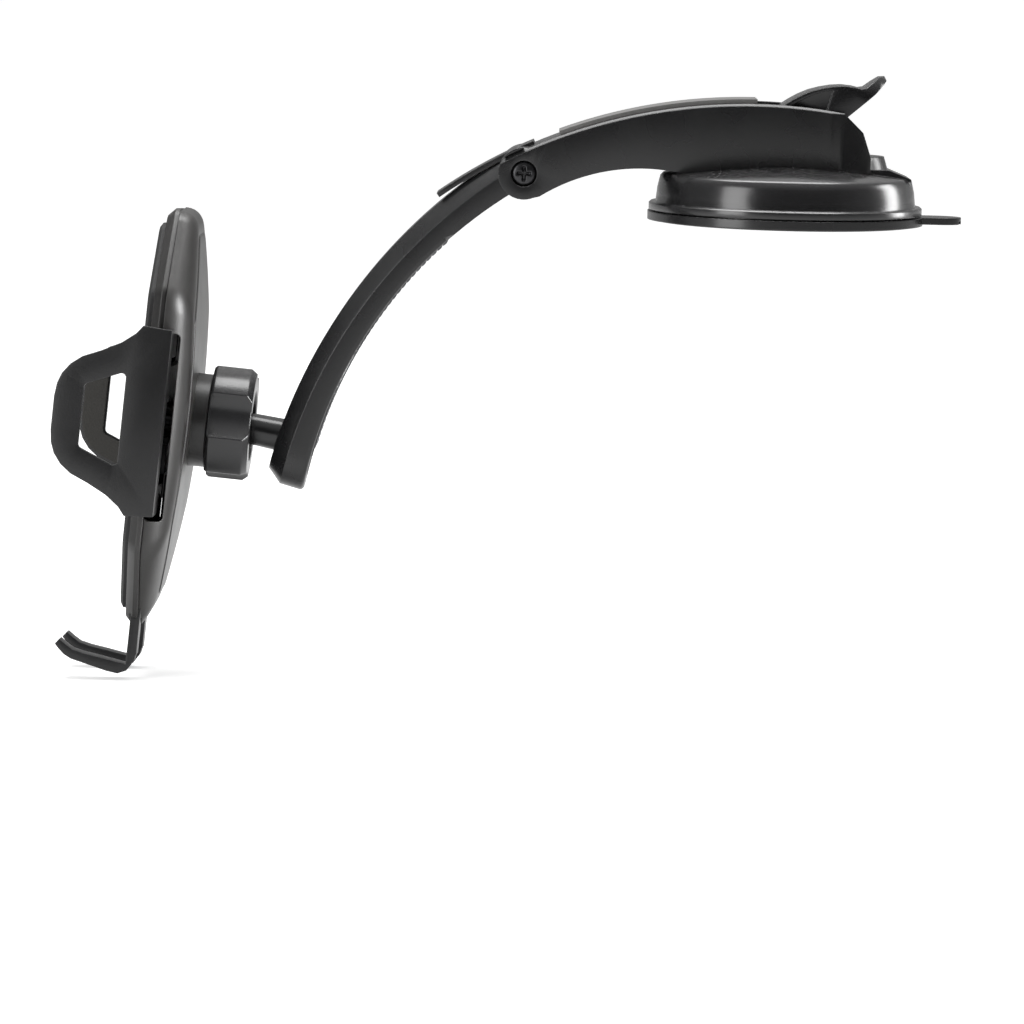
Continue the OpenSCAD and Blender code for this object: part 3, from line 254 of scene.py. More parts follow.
def edge_wear_and_glint() -> bpy.types.NodeTree:
    """Finds edges that hands rub, and breaks them up; where the amount is turned up, as on the nut,
    the mask also paints edge highlights.

    Returns:
        A group that gives a mask of lightened edges, partly wear and partly painted highlight, and
        a softened normal.
    """
    tree, w, given, out = node_group("edge_wear_and_glint", "Shader", {"Radius": "Float", "Amount": "Float"},
                                     {"Mask": "Float", "Normal": "Vector"})
    soft = w.add("ShaderNodeBevel", {"Radius": given["Radius"]}, samples=BEVEL_SAMPLES)
    true = w.add("ShaderNodeNewGeometry").outputs["Normal"]
    match = w.add("ShaderNodeVectorMath", {0: soft.outputs[0], 1: true}, operation="DOT_PRODUCT")
    place = w.add("ShaderNodeTexCoord").outputs["Object"]
    patch = w.add("ShaderNodeTexNoise",
                  {"Vector": place, "Scale": RUB_SCALE, "Detail": RUB_DETAIL}).outputs[0]
    rub_and_glint = w.maths("MULTIPLY", w.spread(match.outputs["Value"], RUB_TURN, UNIT),
                  w.spread(patch, RUB_SPAN, RUB_SHARE))
    w.join(w.maths("MULTIPLY", rub_and_glint, given["Amount"], clamp=True), out["Mask"])
    w.join(soft.outputs[0], out["Normal"])
    return tree


DUST_SCALE, DUST_DETAIL = 900.0, 3.0
DUST_UP = (0.3, 1.0)  # upward part of the normal, from bare to dusty
DUST_SPAN, DUST_SHARE = (0.45, 0.7), (0.2, 1.0)


def settled_dust() -> bpy.types.NodeTree:
    """Thin dust on faces that look up.

    Returns:
        A group that gives a mask from 0 to 1.
    """
    tree, w, given, out = node_group("settled_dust", "Shader", {"Amount": "Float"},
                                     {"Mask": "Float"})
    normal = w.add("ShaderNodeNewGeometry").outputs["Normal"]
    up = w.add("ShaderNodeSeparateXYZ", {0: normal}).outputs["Z"]
    place = w.add("ShaderNodeTexCoord").outputs["Object"]
    speck = w.add("ShaderNodeTexNoise",
                  {"Vector": place, "Scale": DUST_SCALE, "Detail": DUST_DETAIL}).outputs[0]
    dust = w.maths("MULTIPLY", w.spread(up, DUST_UP, UNIT), w.spread(speck, DUST_SPAN, DUST_SHARE))
    w.join(w.maths("MULTIPLY", dust, given["Amount"], clamp=True), out["Mask"])
    return tree


GRAIN = moulded_grain()
WEAR_AND_GLINT = edge_wear_and_glint()
DUST = settled_dust()
DUST_COLOUR = (0.3, 0.29, 0.28, 1.0)


# --- finishes


@dataclass(frozen=True)
class Finish:
    """One moulded, rubber or metal finish, in lengths of metres unless said."""

    name: str
    colour: Colour
    roughness: float
    grain_mm: float = 0.35
    grain_depth: float = 0.00001
    # The edge colour and its amount lighten sharp edges: real wear, and on the nut also painted
    # highlight lines.
    wear_and_glint_colour: Colour = (0.09, 0.09, 0.092)
    wear_and_glint: float = 0.35
    edge: float = 0.0004
    dust: float = 0.05
    dust_roughness: float = 0.6
    specular: float = 0.5
    metallic: float = 0.0
    coat: float = 0.0
    coat_roughness: float = 0.18
    cloud_mm: float = 14.0

    def material(self) -> bpy.types.Material:
        """Builds the finish once.

        Returns:
            Its material.
        """
        known = bpy.data.materials.get(self.name)
        if known:
            return known
        stuff = bpy.data.materials.new(self.name)
        w = cleared(stuff)
        grain = w.add("ShaderNodeGroup", {"Grain Size": self.grain_mm, "Cloud Size": self.cloud_mm},
                      node_tree=GRAIN)
        # Mask of lightened edges: wear, and where turned up a painted highlight.
        rub_and_glint = w.add("ShaderNodeGroup", {"Radius": self.edge, "Amount": self.wear_and_glint}, node_tree=WEAR_AND_GLINT)
        dust = w.add("ShaderNodeGroup", {"Amount": self.dust}, node_tree=DUST)
        plain = w.add("ShaderNodeVectorMath", {0: self.colour, "Scale": grain.outputs["Shade"]},
                      operation="SCALE")
        worn_and_glinting = w.add("ShaderNodeMix",
                     {MIX_FACTOR: rub_and_glint.outputs["Mask"], MIX_A: plain.outputs[0],
                      MIX_B: (*self.wear_and_glint_colour, 1.0)}, data_type="RGBA")
        dusty = w.add("ShaderNodeMix",
                      {MIX_FACTOR: dust.outputs["Mask"], MIX_A: worn_and_glinting.outputs[MIX_RESULT],
                       MIX_B: DUST_COLOUR}, data_type="RGBA")
        rough = w.maths("ADD", self.roughness, grain.outputs["Roughness"])
        dull = w.maths("MULTIPLY", dust.outputs["Mask"], self.dust_roughness)
        bump = w.add("ShaderNodeBump",
                     {"Height": grain.outputs["Height"], "Normal": rub_and_glint.outputs["Normal"],
                      "Strength": 1.0, "Distance": self.grain_depth})
        shade = w.add("ShaderNodeBsdfPrincipled",
                      {"Base Color": dusty.outputs[MIX_RESULT],
                       "Roughness": w.maths("ADD", rough, dull, clamp=True),
                       "Normal": bump.outputs[0], "Metallic": self.metallic,
                       "Specular IOR Level": self.specular, "Coat Weight": self.coat,
                       "Coat Roughness": self.coat_roughness})
        w.join(shade.outputs[0], w.add("ShaderNodeOutputMaterial").inputs["Surface"])
        return stuff


ARM_PLASTIC = Finish("arm_black_satin", (0.0085, 0.0085, 0.009), 0.28)
BASE_PLASTIC = Finish("base_black_satin", (0.0095, 0.0095, 0.01), 0.23, coat=0.35)
LEVER_PLASTIC = Finish("lever_charcoal_gloss", (0.0085, 0.0085, 0.009), 0.22)
STRIP_PLASTIC = Finish("strip_speckled_grey", (0.17, 0.167, 0.163), 0.36, grain_mm=0.6,
                       grain_depth=0.00003)
INSERT_PLASTIC = Finish("insert_satin_grey", (0.13, 0.125, 0.13), 0.34)
CRADLE_PLASTIC = Finish("cradle_black_satin", (0.0135, 0.013, 0.0125), 0.36)
WING_PLASTIC = Finish("wing_black_matte", (0.0085, 0.0085, 0.009), 0.34, grain_mm=0.3,
                      grain_depth=0.00002, wear_and_glint=0.8)
# The nut's edge amount is turned up, so its lighter edges are partly wear and partly painted
# highlights along the facet edges.
NUT_PLASTIC = Finish("nut_black_satin", (0.0095, 0.0095, 0.01), 0.2, wear_and_glint=0.7)
INNER_PLASTIC = Finish("inner_grey_plastic", (0.09, 0.09, 0.09), 0.45)
CUP_RUBBER = Finish("cup_gloss_rubber", (0.0075, 0.0075, 0.008), 0.26, grain_depth=0.000004,
                    wear_and_glint=0.1, coat=0.1)
PAD_RUBBER = Finish("pad_soft_rubber", (0.014, 0.014, 0.0145), 0.62, grain_mm=0.5,
                    grain_depth=0.00003, wear_and_glint=0.1)
WING_PAD_RUBBER = Finish("wing_pad_warm_rubber", (0.021, 0.0195, 0.0165), 0.62, grain_mm=0.5,
                         grain_depth=0.00003, wear_and_glint=0.1)
WEAVE_BASE = Finish("grip_ground", (0.045, 0.045, 0.047), 0.6, wear_and_glint=0.0)
WEAVE_DASH = Finish("grip_dash_grey", (0.24, 0.24, 0.25), 0.5, wear_and_glint=0.0)
STEEL = Finish("bright_steel", (0.55, 0.55, 0.56), 0.3, grain_depth=0.000003, metallic=1.0,
               wear_and_glint_colour=(0.7, 0.7, 0.7))
DARK_STEEL = Finish("black_oxide_steel", (0.05, 0.05, 0.052), 0.34, grain_depth=0.000005,
                    metallic=1.0, wear_and_glint_colour=(0.2, 0.2, 0.2), wear_and_glint=0.8)


def dress(finish: Finish, *nodes: str) -> None:
    """Gives CAD nodes a finish.

    Args:
        finish: the finish.
        nodes: the nodes' names.
    """
    for name in nodes:
        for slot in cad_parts[name].material_slots:
            slot.material = finish.material()


# --- meshes


PIECES: list[tuple[bpy.types.Object, Body]] = []
WELD, CAD_WELD = 1e-7, 2e-6
FLAT_ANGLE, SHARP_ANGLE = math.radians(0.6), math.radians(38.0)
EASED_SHADING, SPRING_SHADING, SHELL_SHADING = 50.0, 60.0, 32.0  # degrees
FINE_SEGMENTS, FINE_PROFILE = 2, 0.6
BROAD_RADIUS, BROAD_SEGMENTS, BROAD_PROFILE = 1.4 * MM, 6, 0.5


def in_scene(name: str, data: bpy.types.ID) -> bpy.types.Object:
    """Makes an object and links it to the scene.

    Args:
        name: its name.
        data: its mesh, camera or light.

    Returns:
        The object.
    """
    thing = bpy.data.objects.new(name, data)
    bpy.context.scene.collection.objects.link(thing)
    return thing


def new_piece(name: str, mesh: bpy.types.Mesh, body: Body,
              finish: Finish) -> bpy.types.Object:
    """Puts a finished mesh in the scene.

    Args:
        name: the piece's name.
        mesh: its mesh, in the row frame.
        body: the body it rides on.
        finish: its finish.

    Returns:
        The piece.
    """
    if not mesh.materials:
        mesh.materials.append(finish.material())
    piece = in_scene(name, mesh)
    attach(piece, body.value)
    PIECES.append((piece, body))
    log.info("%s: %d faces, rides on %s", name, len(mesh.polygons), body.value)
    return piece


def mesh_from(bm: bmesh.types.BMesh, name: str) -> bpy.types.Mesh:
    """Turns a bmesh into a mesh and frees it.

    Args:
        bm: the bmesh.
        name: the mesh's name.

    Returns:
        The mesh.
    """
    mesh = bpy.data.meshes.new(name)
    bm.to_mesh(mesh)
    bm.free()
    return mesh


def mesh_of(verts: Sequence[Point], faces: Sequence[Sequence[int]], name: str) -> bpy.types.Mesh:
    """A smooth mesh with merged doubles and outward normals.

    Args:
        verts: its points in metres.
        faces: its faces.
        name: the mesh's name.

    Returns:
        The mesh.
    """
    raw = bpy.data.meshes.new(name + "_raw")
    raw.from_pydata([tuple(v) for v in verts], [], [tuple(f) for f in faces])
    bm = bmesh.new()
    bm.from_mesh(raw)
    bpy.data.meshes.remove(raw)
    bmesh.ops.remove_doubles(bm, verts=bm.verts, dist=WELD)
    bmesh.ops.recalc_face_normals(bm, faces=bm.faces)
    for face in bm.faces:
        face.smooth = True
    return mesh_from(bm, name)


def ring_faces(rings: int, count: int, closed: bool = False) -> list[tuple[int, ...]]:
    """Joins rings of points with quads.

    Args:
        rings: how many rings there are.
        count: how many points each ring has.
        closed: joins the last ring to the first one.

    Returns:
        The faces, as places in one list of all the rings' points.
    """
    faces = []
    for i in range(rings if closed else rings - 1):
        here, there = i * count, (i + 1) % rings * count
        for k in range(count):
            n = (k + 1) % count
            faces.append((here + k, here + n, there + n, there + k))
    return faces


def merged_copy(node: str) -> bmesh.types.BMesh:
    """Copies a CAD node's mesh and merges its doubles.

    Args:
        node: the node's name.

    Returns:
        A new bmesh.
    """
    bm = bmesh.new()
    bm.from_mesh(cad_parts[node].data)
    bmesh.ops.remove_doubles(bm, verts=bm.verts, dist=CAD_WELD)
    bmesh.ops.dissolve_degenerate(bm, edges=bm.edges, dist=CAD_WELD)
    return bm


def shaded_by_angle(mesh: bpy.types.Mesh, angle: float) -> None:
    """Smooths a mesh except at sharp edges.

    Args:
        mesh: the mesh.
        angle: edges that turn more than this, in degrees, stay sharp.
    """
    mesh.polygons.foreach_set("use_smooth", [True] * len(mesh.polygons))
    mesh.set_sharp_from_angle(angle=math.radians(angle))


def sharp_edges(bm: bmesh.types.BMesh) -> list[bmesh.types.BMEdge]:
    """Lists the edges that are eased.

    Args:
        bm: the bmesh.

    Returns:
        Its edges between two faces that meet at a sharp angle.
    """
    return [e for e in bm.edges if len(e.link_faces) == 2 and e.calc_face_angle(0.0) > SHARP_ANGLE]


def eased(node: str, body: Body, finish: Finish, radius: float,
          broad: Callable[[Vector], bool] | None = None) -> None:
    """Stands for a CAD node with its sharp edges eased.

    Args:
        node: the node's name.
        body: the body it rides on.
        finish: its finish.
        radius: how far each edge is eased.
        broad: tells whether a sharp edge's middle gets the broad radius first.
    """
    bm = merged_copy(node)
    bmesh.ops.dissolve_limit(bm, angle_limit=FLAT_ANGLE, verts=bm.verts, edges=bm.edges)
    if broad:
        edges = [e for e in sharp_edges(bm) if broad((e.verts[0].co + e.verts[1].co) / 2)]
        bmesh.ops.bevel(bm, geom=edges, offset=BROAD_RADIUS, offset_type="OFFSET",
                        segments=BROAD_SEGMENTS, profile=BROAD_PROFILE, affect="EDGES",
                        clamp_overlap=False)
    bmesh.ops.bevel(bm, geom=sharp_edges(bm), offset=radius, offset_type="OFFSET",
                    segments=FINE_SEGMENTS, profile=FINE_PROFILE, affect="EDGES",
                    clamp_overlap=True)
    bmesh.ops.triangulate(bm, faces=[f for f in bm.faces if len(f.verts) > 4])
    mesh = mesh_from(bm, node + "_eased")
    shaded_by_angle(mesh, EASED_SHADING)
    piece = new_piece(node + "_eased", mesh, body, finish)
    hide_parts(node)


def evaluated(holder: bpy.types.Object) -> bpy.types.Mesh:
    """Keeps what an object's modifiers make, and removes the object.

    Args:
        holder: the object.

    Returns:
        The plain mesh.
    """
    bpy.context.view_layer.update()
    graph = bpy.context.evaluated_depsgraph_get()
    mesh = bpy.data.meshes.new_from_object(holder.evaluated_get(graph))
    bpy.data.objects.remove(holder)
    return mesh


def tree_mesh(tree: bpy.types.NodeTree, values: dict[str, object], name: str,
              source: bpy.types.Mesh | None = None) -> bpy.types.Mesh:
    """Runs a Geometry Nodes tree once and keeps the plain mesh.

    Args:
        tree: the tree.
        values: its inputs by name.
        name: name of the mesh.
        source: the mesh it starts from, if any.

    Returns:
        The mesh.
    """
    holder = in_scene(name + "_source", source or bpy.data.meshes.new(name + "_points"))
    modifier = holder.modifiers.new("build", "NODES")
    modifier.node_group = tree
    for item in tree.interface.items_tree:
        if item.item_type == "SOCKET" and item.in_out == "INPUT" and item.name in values:
            modifier[item.identifier] = values[item.name]
    mesh = evaluated(holder)
    mesh.name = name
    return mesh


def finish_tree(w: Wiring, instances: bpy.types.NodeSocket, given: Sockets,
                out: Sockets) -> None:
    """Ends a Geometry Nodes tree with plain, smooth, finished meshes.

    Args:
        w: the tree's wiring.
        instances: the geometry that is kept.
        given: the sockets that the tree is given, with its Material.
        out: the sockets that it fills.
    """
    real = w.add("GeometryNodeRealizeInstances", {0: instances})
    smooth = w.add("GeometryNodeSetShadeSmooth", {"Geometry": real.outputs[0]})
    coated = w.add("GeometryNodeSetMaterial",
                   {"Geometry": smooth.outputs[0], "Material": given["Material"]})
    w.join(coated.outputs[0], out["Geometry"])


@dataclass
class ScrewHeads:
    """Domed cross-head screws in the place of the CAD's; a head's sizes are for radius 1."""

    node: str = "elbow_screws"
    rings: int = 14
    steps: int = 72
    dome_rise: float = 0.3
    dome_share: float = 0.93
    slot_half: float = 0.16
    slot_slope: float = 0.05
    slot_reach: float = 0.6
    end_slope: float = 0.08
    slot_depth: float = 0.42
    skirt: float = 0.62
    crown_band: float = 0.4 * MM

    def head(self) -> bpy.types.Mesh:
        """Shapes one head, its crown up +Z.

        Returns:
            Its mesh.
        """
        verts: list[Point] = []
        angles = [2 * math.pi * step / self.steps for step in range(self.steps)]
        for ring in range(self.rings + 1):
            r = ring / self.rings
            for a in angles:
                x, y = r * math.cos(a), r * math.sin(a)
                dome = math.sqrt(max(0.0, 1.0 - self.dome_share * r * r)) - 1.0
                side = (self.slot_half - min(abs(x), abs(y))) / self.slot_slope
                end = (self.slot_reach - max(abs(x), abs(y))) / self.end_slope
                sunk = min(1.0, max(0.0, side)) * min(1.0, max(0.0, end))
                verts.append((x, y, self.dome_rise * dome - self.slot_depth * sunk))
        verts += [(math.cos(a), math.sin(a), -self.skirt) for a in angles]
        faces = ring_faces(self.rings + 2, self.steps)
        faces.append(tuple((self.rings + 1) * self.steps + step for step in range(self.steps)))
        return mesh_of(verts, faces, "screw_head")

    def tree(self) -> bpy.types.NodeTree:
        """Wires the tree that sets a head on every point, along its aim and at its size.

        Returns:
            The tree.
        """
        tree, w, given, out = node_group(
            "screw_heads", "Geometry",
            {"Geometry": "Geometry", "Head": "Object", "Material": "Material"},
            {"Geometry": "Geometry"})
        aim = w.add("GeometryNodeInputNamedAttribute", {"Name": "aim"}, data_type="FLOAT_VECTOR")
        size = w.add("GeometryNodeInputNamedAttribute", {"Name": "size"}, data_type="FLOAT")
        shape = w.add("GeometryNodeObjectInfo", {"Object": given["Head"]})
        turn = w.add("FunctionNodeAlignRotationToVector", {"Vector": aim.outputs[0]}, axis="Z")
        points = w.add("GeometryNodeMeshToPoints", {"Mesh": given["Geometry"]})
        heads = w.add("GeometryNodeInstanceOnPoints",
                      {"Points": points.outputs[0], "Instance": shape.outputs["Geometry"],
                       "Rotation": turn.outputs[0], "Scale": size.outputs[0]})
        finish_tree(w, heads.outputs[0], given, out)
        return tree

    def places(self) -> list[tuple[Vector, Vector, float]]:
        """Finds each screw of the CAD node; they lie along y and their heads point outward.

        Returns:
            The crown's middle, the way it points and its radius, for each screw.
        """
        bm = merged_copy(self.node)
        left, found = set(bm.verts), []
        while left:
            island, stack = [], [left.pop()]
            while stack:
                vert = stack.pop()
                island.append(vert.co.copy())
                for edge in vert.link_edges:
                    other = edge.other_vert(vert)
                    if other in left:
                        left.discard(other)
                        stack.append(other)
            middle = sum(island, Vector()) / len(island)
            aim = Vector((0, 1, 0)) * math.copysign(1.0, middle.y)
            top = max(p.dot(aim) for p in island)
            near = [p for p in island if p.dot(aim) > top - self.crown_band]
            low = [min(p[i] for p in near) for i in range(3)]
            high = [max(p[i] for p in near) for i in range(3)]
            crown = (Vector(low) + Vector(high)) / 2
            crown += aim * (top - crown.dot(aim))
            radius = max((p - crown - aim * (p - crown).dot(aim)).length for p in near)
            found.append((crown, aim, radius))
        bm.free()
        return found

    def build(self) -> None:
        """Stands domed heads for the CAD node's screws."""
        spots = self.places()
        points = bpy.data.meshes.new(self.node + "_points")
        points.from_pydata([tuple(crown) for crown, _, _ in spots], [], [])
        points.attributes.new("aim", "FLOAT_VECTOR", "POINT")
        points.attributes.new("size", "FLOAT", "POINT")
        for i, (_, aim, radius) in enumerate(spots):
            points.attributes["aim"].data[i].vector = aim
            points.attributes["size"].data[i].value = radius
        head = bpy.data.objects.new("head_shape", self.head())
        values = {"Head": head, "Material": DARK_STEEL.material()}
        name = self.node + "_heads"
        mesh = tree_mesh(self.tree(), values, name, points)
        bpy.data.objects.remove(head)
        piece = new_piece(name, mesh, Body.BASE, DARK_STEEL)
        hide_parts(self.node)


# --- parts


@dataclass
class CupAndBase:
    """The suction cup and the ring-shaped housing above it, in millimetres."""

    gel_r: float = 37.0
    gel_t: float = 0.45
    rim_round: float = 1.0
    rim_angles: tuple[float, ...] = (0.3, 0.6, 0.9, 1.2)
    rim_power: float = 0.8
    dish: float = 0.3
    ring_r: float = 15.5
    ring_w: float = 0.7
    ring_h: float = 0.16
    nub_r: float = 1.6
    nub_h: float = 0.2
    nub_radii: tuple[float, ...] = (0.0, 0.4, 0.8, 1.2, 1.6, 2.2)
    inner_radii: tuple[float, ...] = (3.5, 6.0, 9.0, 12.0)
    ring_steps: int = 4
    outer_steps: int = 12
    steps: int = 160
    stem_rise: float = 1.66 * MM

    def gel_profile(self) -> list[tuple[float, float]]:
        """Draws half the pad's section, dished, with a ring and a middle nub.

        Returns:
            Its points, each a radius and a height, from the middle over the rim to the back.
        """
        inside, outside = self.ring_r - 2 * self.ring_w, self.ring_r + 2 * self.ring_w
        flat_r = self.gel_r - self.rim_round
        radii = [*self.nub_radii, *self.inner_radii, inside]
        radii += [self.ring_r + self.ring_w * k / self.ring_steps
                  for k in range(-self.ring_steps, self.ring_steps + 1)]
        radii += [outside + (flat_r - outside) * k / self.outer_steps
                  for k in range(self.outer_steps + 1)]
        profile = []
        for r in radii:
            ridge = self.ring_h * max(0.0, 1 - ((r - self.ring_r) / self.ring_w) ** 2)
            nub = self.nub_h * max(0.0, 1 - (r / self.nub_r) ** 2)
            dished = self.dish * (1 - (r / self.gel_r) ** 2)
            profile.append((r, dished - self.gel_t - ridge - nub))
        profile += [(flat_r + math.sin(a) * self.rim_round,
                     -self.gel_t * math.cos(a) ** self.rim_power) for a in self.rim_angles]
        return profile + [(self.gel_r, 0.0), (flat_r, 0.0)]

    def gel_pad(self) -> None:
        """Turns the glossy pad under the cup."""
        profile = self.gel_profile()
        verts = []
        for r, z in profile:
            for k in range(self.steps):
                a = 2 * math.pi * k / self.steps
                verts.append((r * math.cos(a) * MM, r * math.sin(a) * MM, z * MM))
        faces = ring_faces(len(profile), self.steps)
        faces.append(tuple((len(profile) - 1) * self.steps + k for k in range(self.steps)))
        mesh = mesh_of(verts, faces, "gel_pad")
        new_piece("gel_pad", mesh, Body.BASE, CUP_RUBBER)

    def spring(self) -> None:
        """Turns the stem's spring into a piece of its own that rides on the base."""
        mesh = mesh_from(merged_copy("stem_spring"), "stem_spring_coil")
        shaded_by_angle(mesh, SPRING_SHADING)
        piece = new_piece("stem_spring_coil", mesh, Body.BASE, STEEL)
        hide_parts("stem_spring")
        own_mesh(piece)

    def build(self) -> None:
        """Dresses the base."""
        self.gel_pad()
        self.spring()
        eased("base_housing", Body.BASE, BASE_PLASTIC, radius=0.5 * MM)
        dress(CUP_RUBBER, "suction_cup")
        dress(INNER_PLASTIC, "cup_stem")
        dress(STEEL, "lever_pin")


@dataclass
class Lever:
    """The locking lever on top of the base."""

    def build(self) -> None:
        """Dresses the lever."""
        eased("lever", Body.LEVER, LEVER_PLASTIC, radius=0.3 * MM)


@dataclass
class Arms:
    """The upper arm, the lower arm, and what is fixed to them, in millimetres and degrees."""

    inner_centre: tuple[float, float] = (-6.60907, -102.711)
    inner_r: float = 130.4
    grip_w: float = 15.0
    grip_margin: float = 1.2
    grip_from: float = 132.879
    grip_to: float = 164.468
    row_pitch: float = 2.1
    first_row: float = 0.6
    column_pitch: float = 0.86
    dash: Point = (0.5, 0.62, 1.75)
    recess: float = -0.3
    rim_y: float = 8.8
    rim_from: float = -8.0
    end_from: float = -72.0
    rim_slack: float = 0.6

    def at_inner_rim(self, point: Vector) -> bool:
        """Tells whether a point is on the inner rim of the lower arm.

        Args:
            point: the point.

        Returns:
            Whether it is.
        """
        reach = (Vector((point.x, point.z)) / MM - Vector(self.inner_centre)).length
        on_side = abs(point.y) > self.rim_y * MM and point.z < self.rim_from * MM
        at_end = point.z < self.end_from * MM
        return abs(reach - self.inner_r) < self.rim_slack and (on_side or at_end)

    def weave_tree(self) -> bpy.types.NodeTree:
        """Wires the tree that lays rows of raised dashes along the strip's curve.

        Returns:
            The tree.
        """
        tree, w, given, out = node_group("grip_weave", "Geometry", {
            "Geometry": "Geometry", "Rows": "Int", "Columns": "Int", "Radius": "Float",
            "From": "Float", "To": "Float", "Width": "Float", "Centre": "Vector",
            "Dash": "Vector", "Material": "Material"}, {"Geometry": "Geometry"})
        grid = w.add("GeometryNodeMeshGrid", {"Size X": 1.0, "Size Y": 1.0,
                                              "Vertices X": given["Rows"],
                                              "Vertices Y": given["Columns"]})
        flat = w.add("ShaderNodeSeparateXYZ", {0: w.add("GeometryNodeInputPosition").outputs[0]})
        share = w.maths("ADD", flat.outputs["X"], 0.5)
        sweep = w.maths("SUBTRACT", given["To"], given["From"])
        angle = w.maths("ADD", given["From"], w.maths("MULTIPLY", share, sweep))
        on_curve = w.add("ShaderNodeCombineXYZ", {
            "X": w.maths("MULTIPLY", w.maths("COSINE", angle), given["Radius"]),
            "Y": w.maths("MULTIPLY", flat.outputs["Y"], given["Width"]),
            "Z": w.maths("MULTIPLY", w.maths("SINE", angle), given["Radius"])})
        place = w.add("ShaderNodeVectorMath", {0: on_curve.outputs[0], 1: given["Centre"]},
                      operation="ADD")
        laid = w.add("GeometryNodeSetPosition",
                     {"Geometry": grid.outputs["Mesh"], "Position": place.outputs[0]})
        from_centre = w.add("ShaderNodeVectorMath",
                            {0: w.add("GeometryNodeInputPosition").outputs[0],
                             1: given["Centre"]}, operation="SUBTRACT")
        parts = w.add("ShaderNodeSeparateXYZ", {0: from_centre.outputs[0]})
        lean = w.maths("ARCTAN2", parts.outputs["Z"], parts.outputs["X"])
        turn = w.add("ShaderNodeCombineXYZ", {"Y": w.maths("MULTIPLY", lean, -1.0)})
        dash = w.add("GeometryNodeMeshCube", {"Size": given["Dash"], "Vertices Z": 3})
        soft = w.add("GeometryNodeSubdivisionSurface", {"Mesh": dash.outputs["Mesh"], "Level": 1})
        points = w.add("GeometryNodeMeshToPoints", {"Mesh": laid.outputs[0]})
        rows = w.add("GeometryNodeInstanceOnPoints",
                     {"Points": points.outputs[0], "Instance": soft.outputs[0],
                      "Rotation": turn.outputs[0]})
        finish_tree(w, rows.outputs[0], given, out)
        return tree

    def weave(self) -> None:
        """Lays the raised dashes of the grip over its strip."""
        arc = math.radians(self.grip_to - self.grip_from) * self.inner_r
        edge = math.degrees(self.row_pitch * self.first_row / self.inner_r)
        mesh = tree_mesh(self.weave_tree(), {
            "Rows": int(arc / self.row_pitch), "Columns": int(self.grip_w / self.column_pitch),
            "Radius": (self.inner_r + self.recess) * MM,
            "From": math.radians(self.grip_from + edge), "To": math.radians(self.grip_to - edge),
            "Width": (self.grip_w - self.grip_margin) * MM,
            "Centre": Vector((self.inner_centre[0], 0.0, self.inner_centre[1])) * MM,
            "Dash": Vector(self.dash) * MM, "Material": WEAVE_DASH.material()}, "grip_dashes")
        new_piece("grip_dashes", mesh, Body.LOWER_ARM, WEAVE_DASH)

    def build(self) -> None:
        """Dresses the arms and lays the woven grip."""
        eased("upper_arm", Body.BASE, ARM_PLASTIC, radius=0.6 * MM)
        eased("lower_arm", Body.LOWER_ARM, ARM_PLASTIC, radius=0.5 * MM,
              broad=self.at_inner_rim)
        dress(STRIP_PLASTIC, "top_strip")
        dress(INSERT_PLASTIC, "hinge_insert")
        dress(WEAVE_BASE, "grip_strip")
        dress(STEEL, "elbow_sleeve", "arm_screws", "elbow_washers")
        self.weave()
        ScrewHeads().build()
        dress(DARK_STEEL, "stud_screw")


@dataclass
class BallAndNut:
    """The ball stud, its socket and the clamping nut."""

    def build(self) -> None:
        """Dresses the joint."""
        eased("socket_nut", Body.NUT, NUT_PLASTIC, radius=0.5 * MM)
        dress(NUT_PLASTIC, "ball_stud")
        dress(INNER_PLASTIC, "seat_cup", "seat_ring")
        dress(CRADLE_PLASTIC, "ball_socket")
        dress(STEEL, "socket_screws")


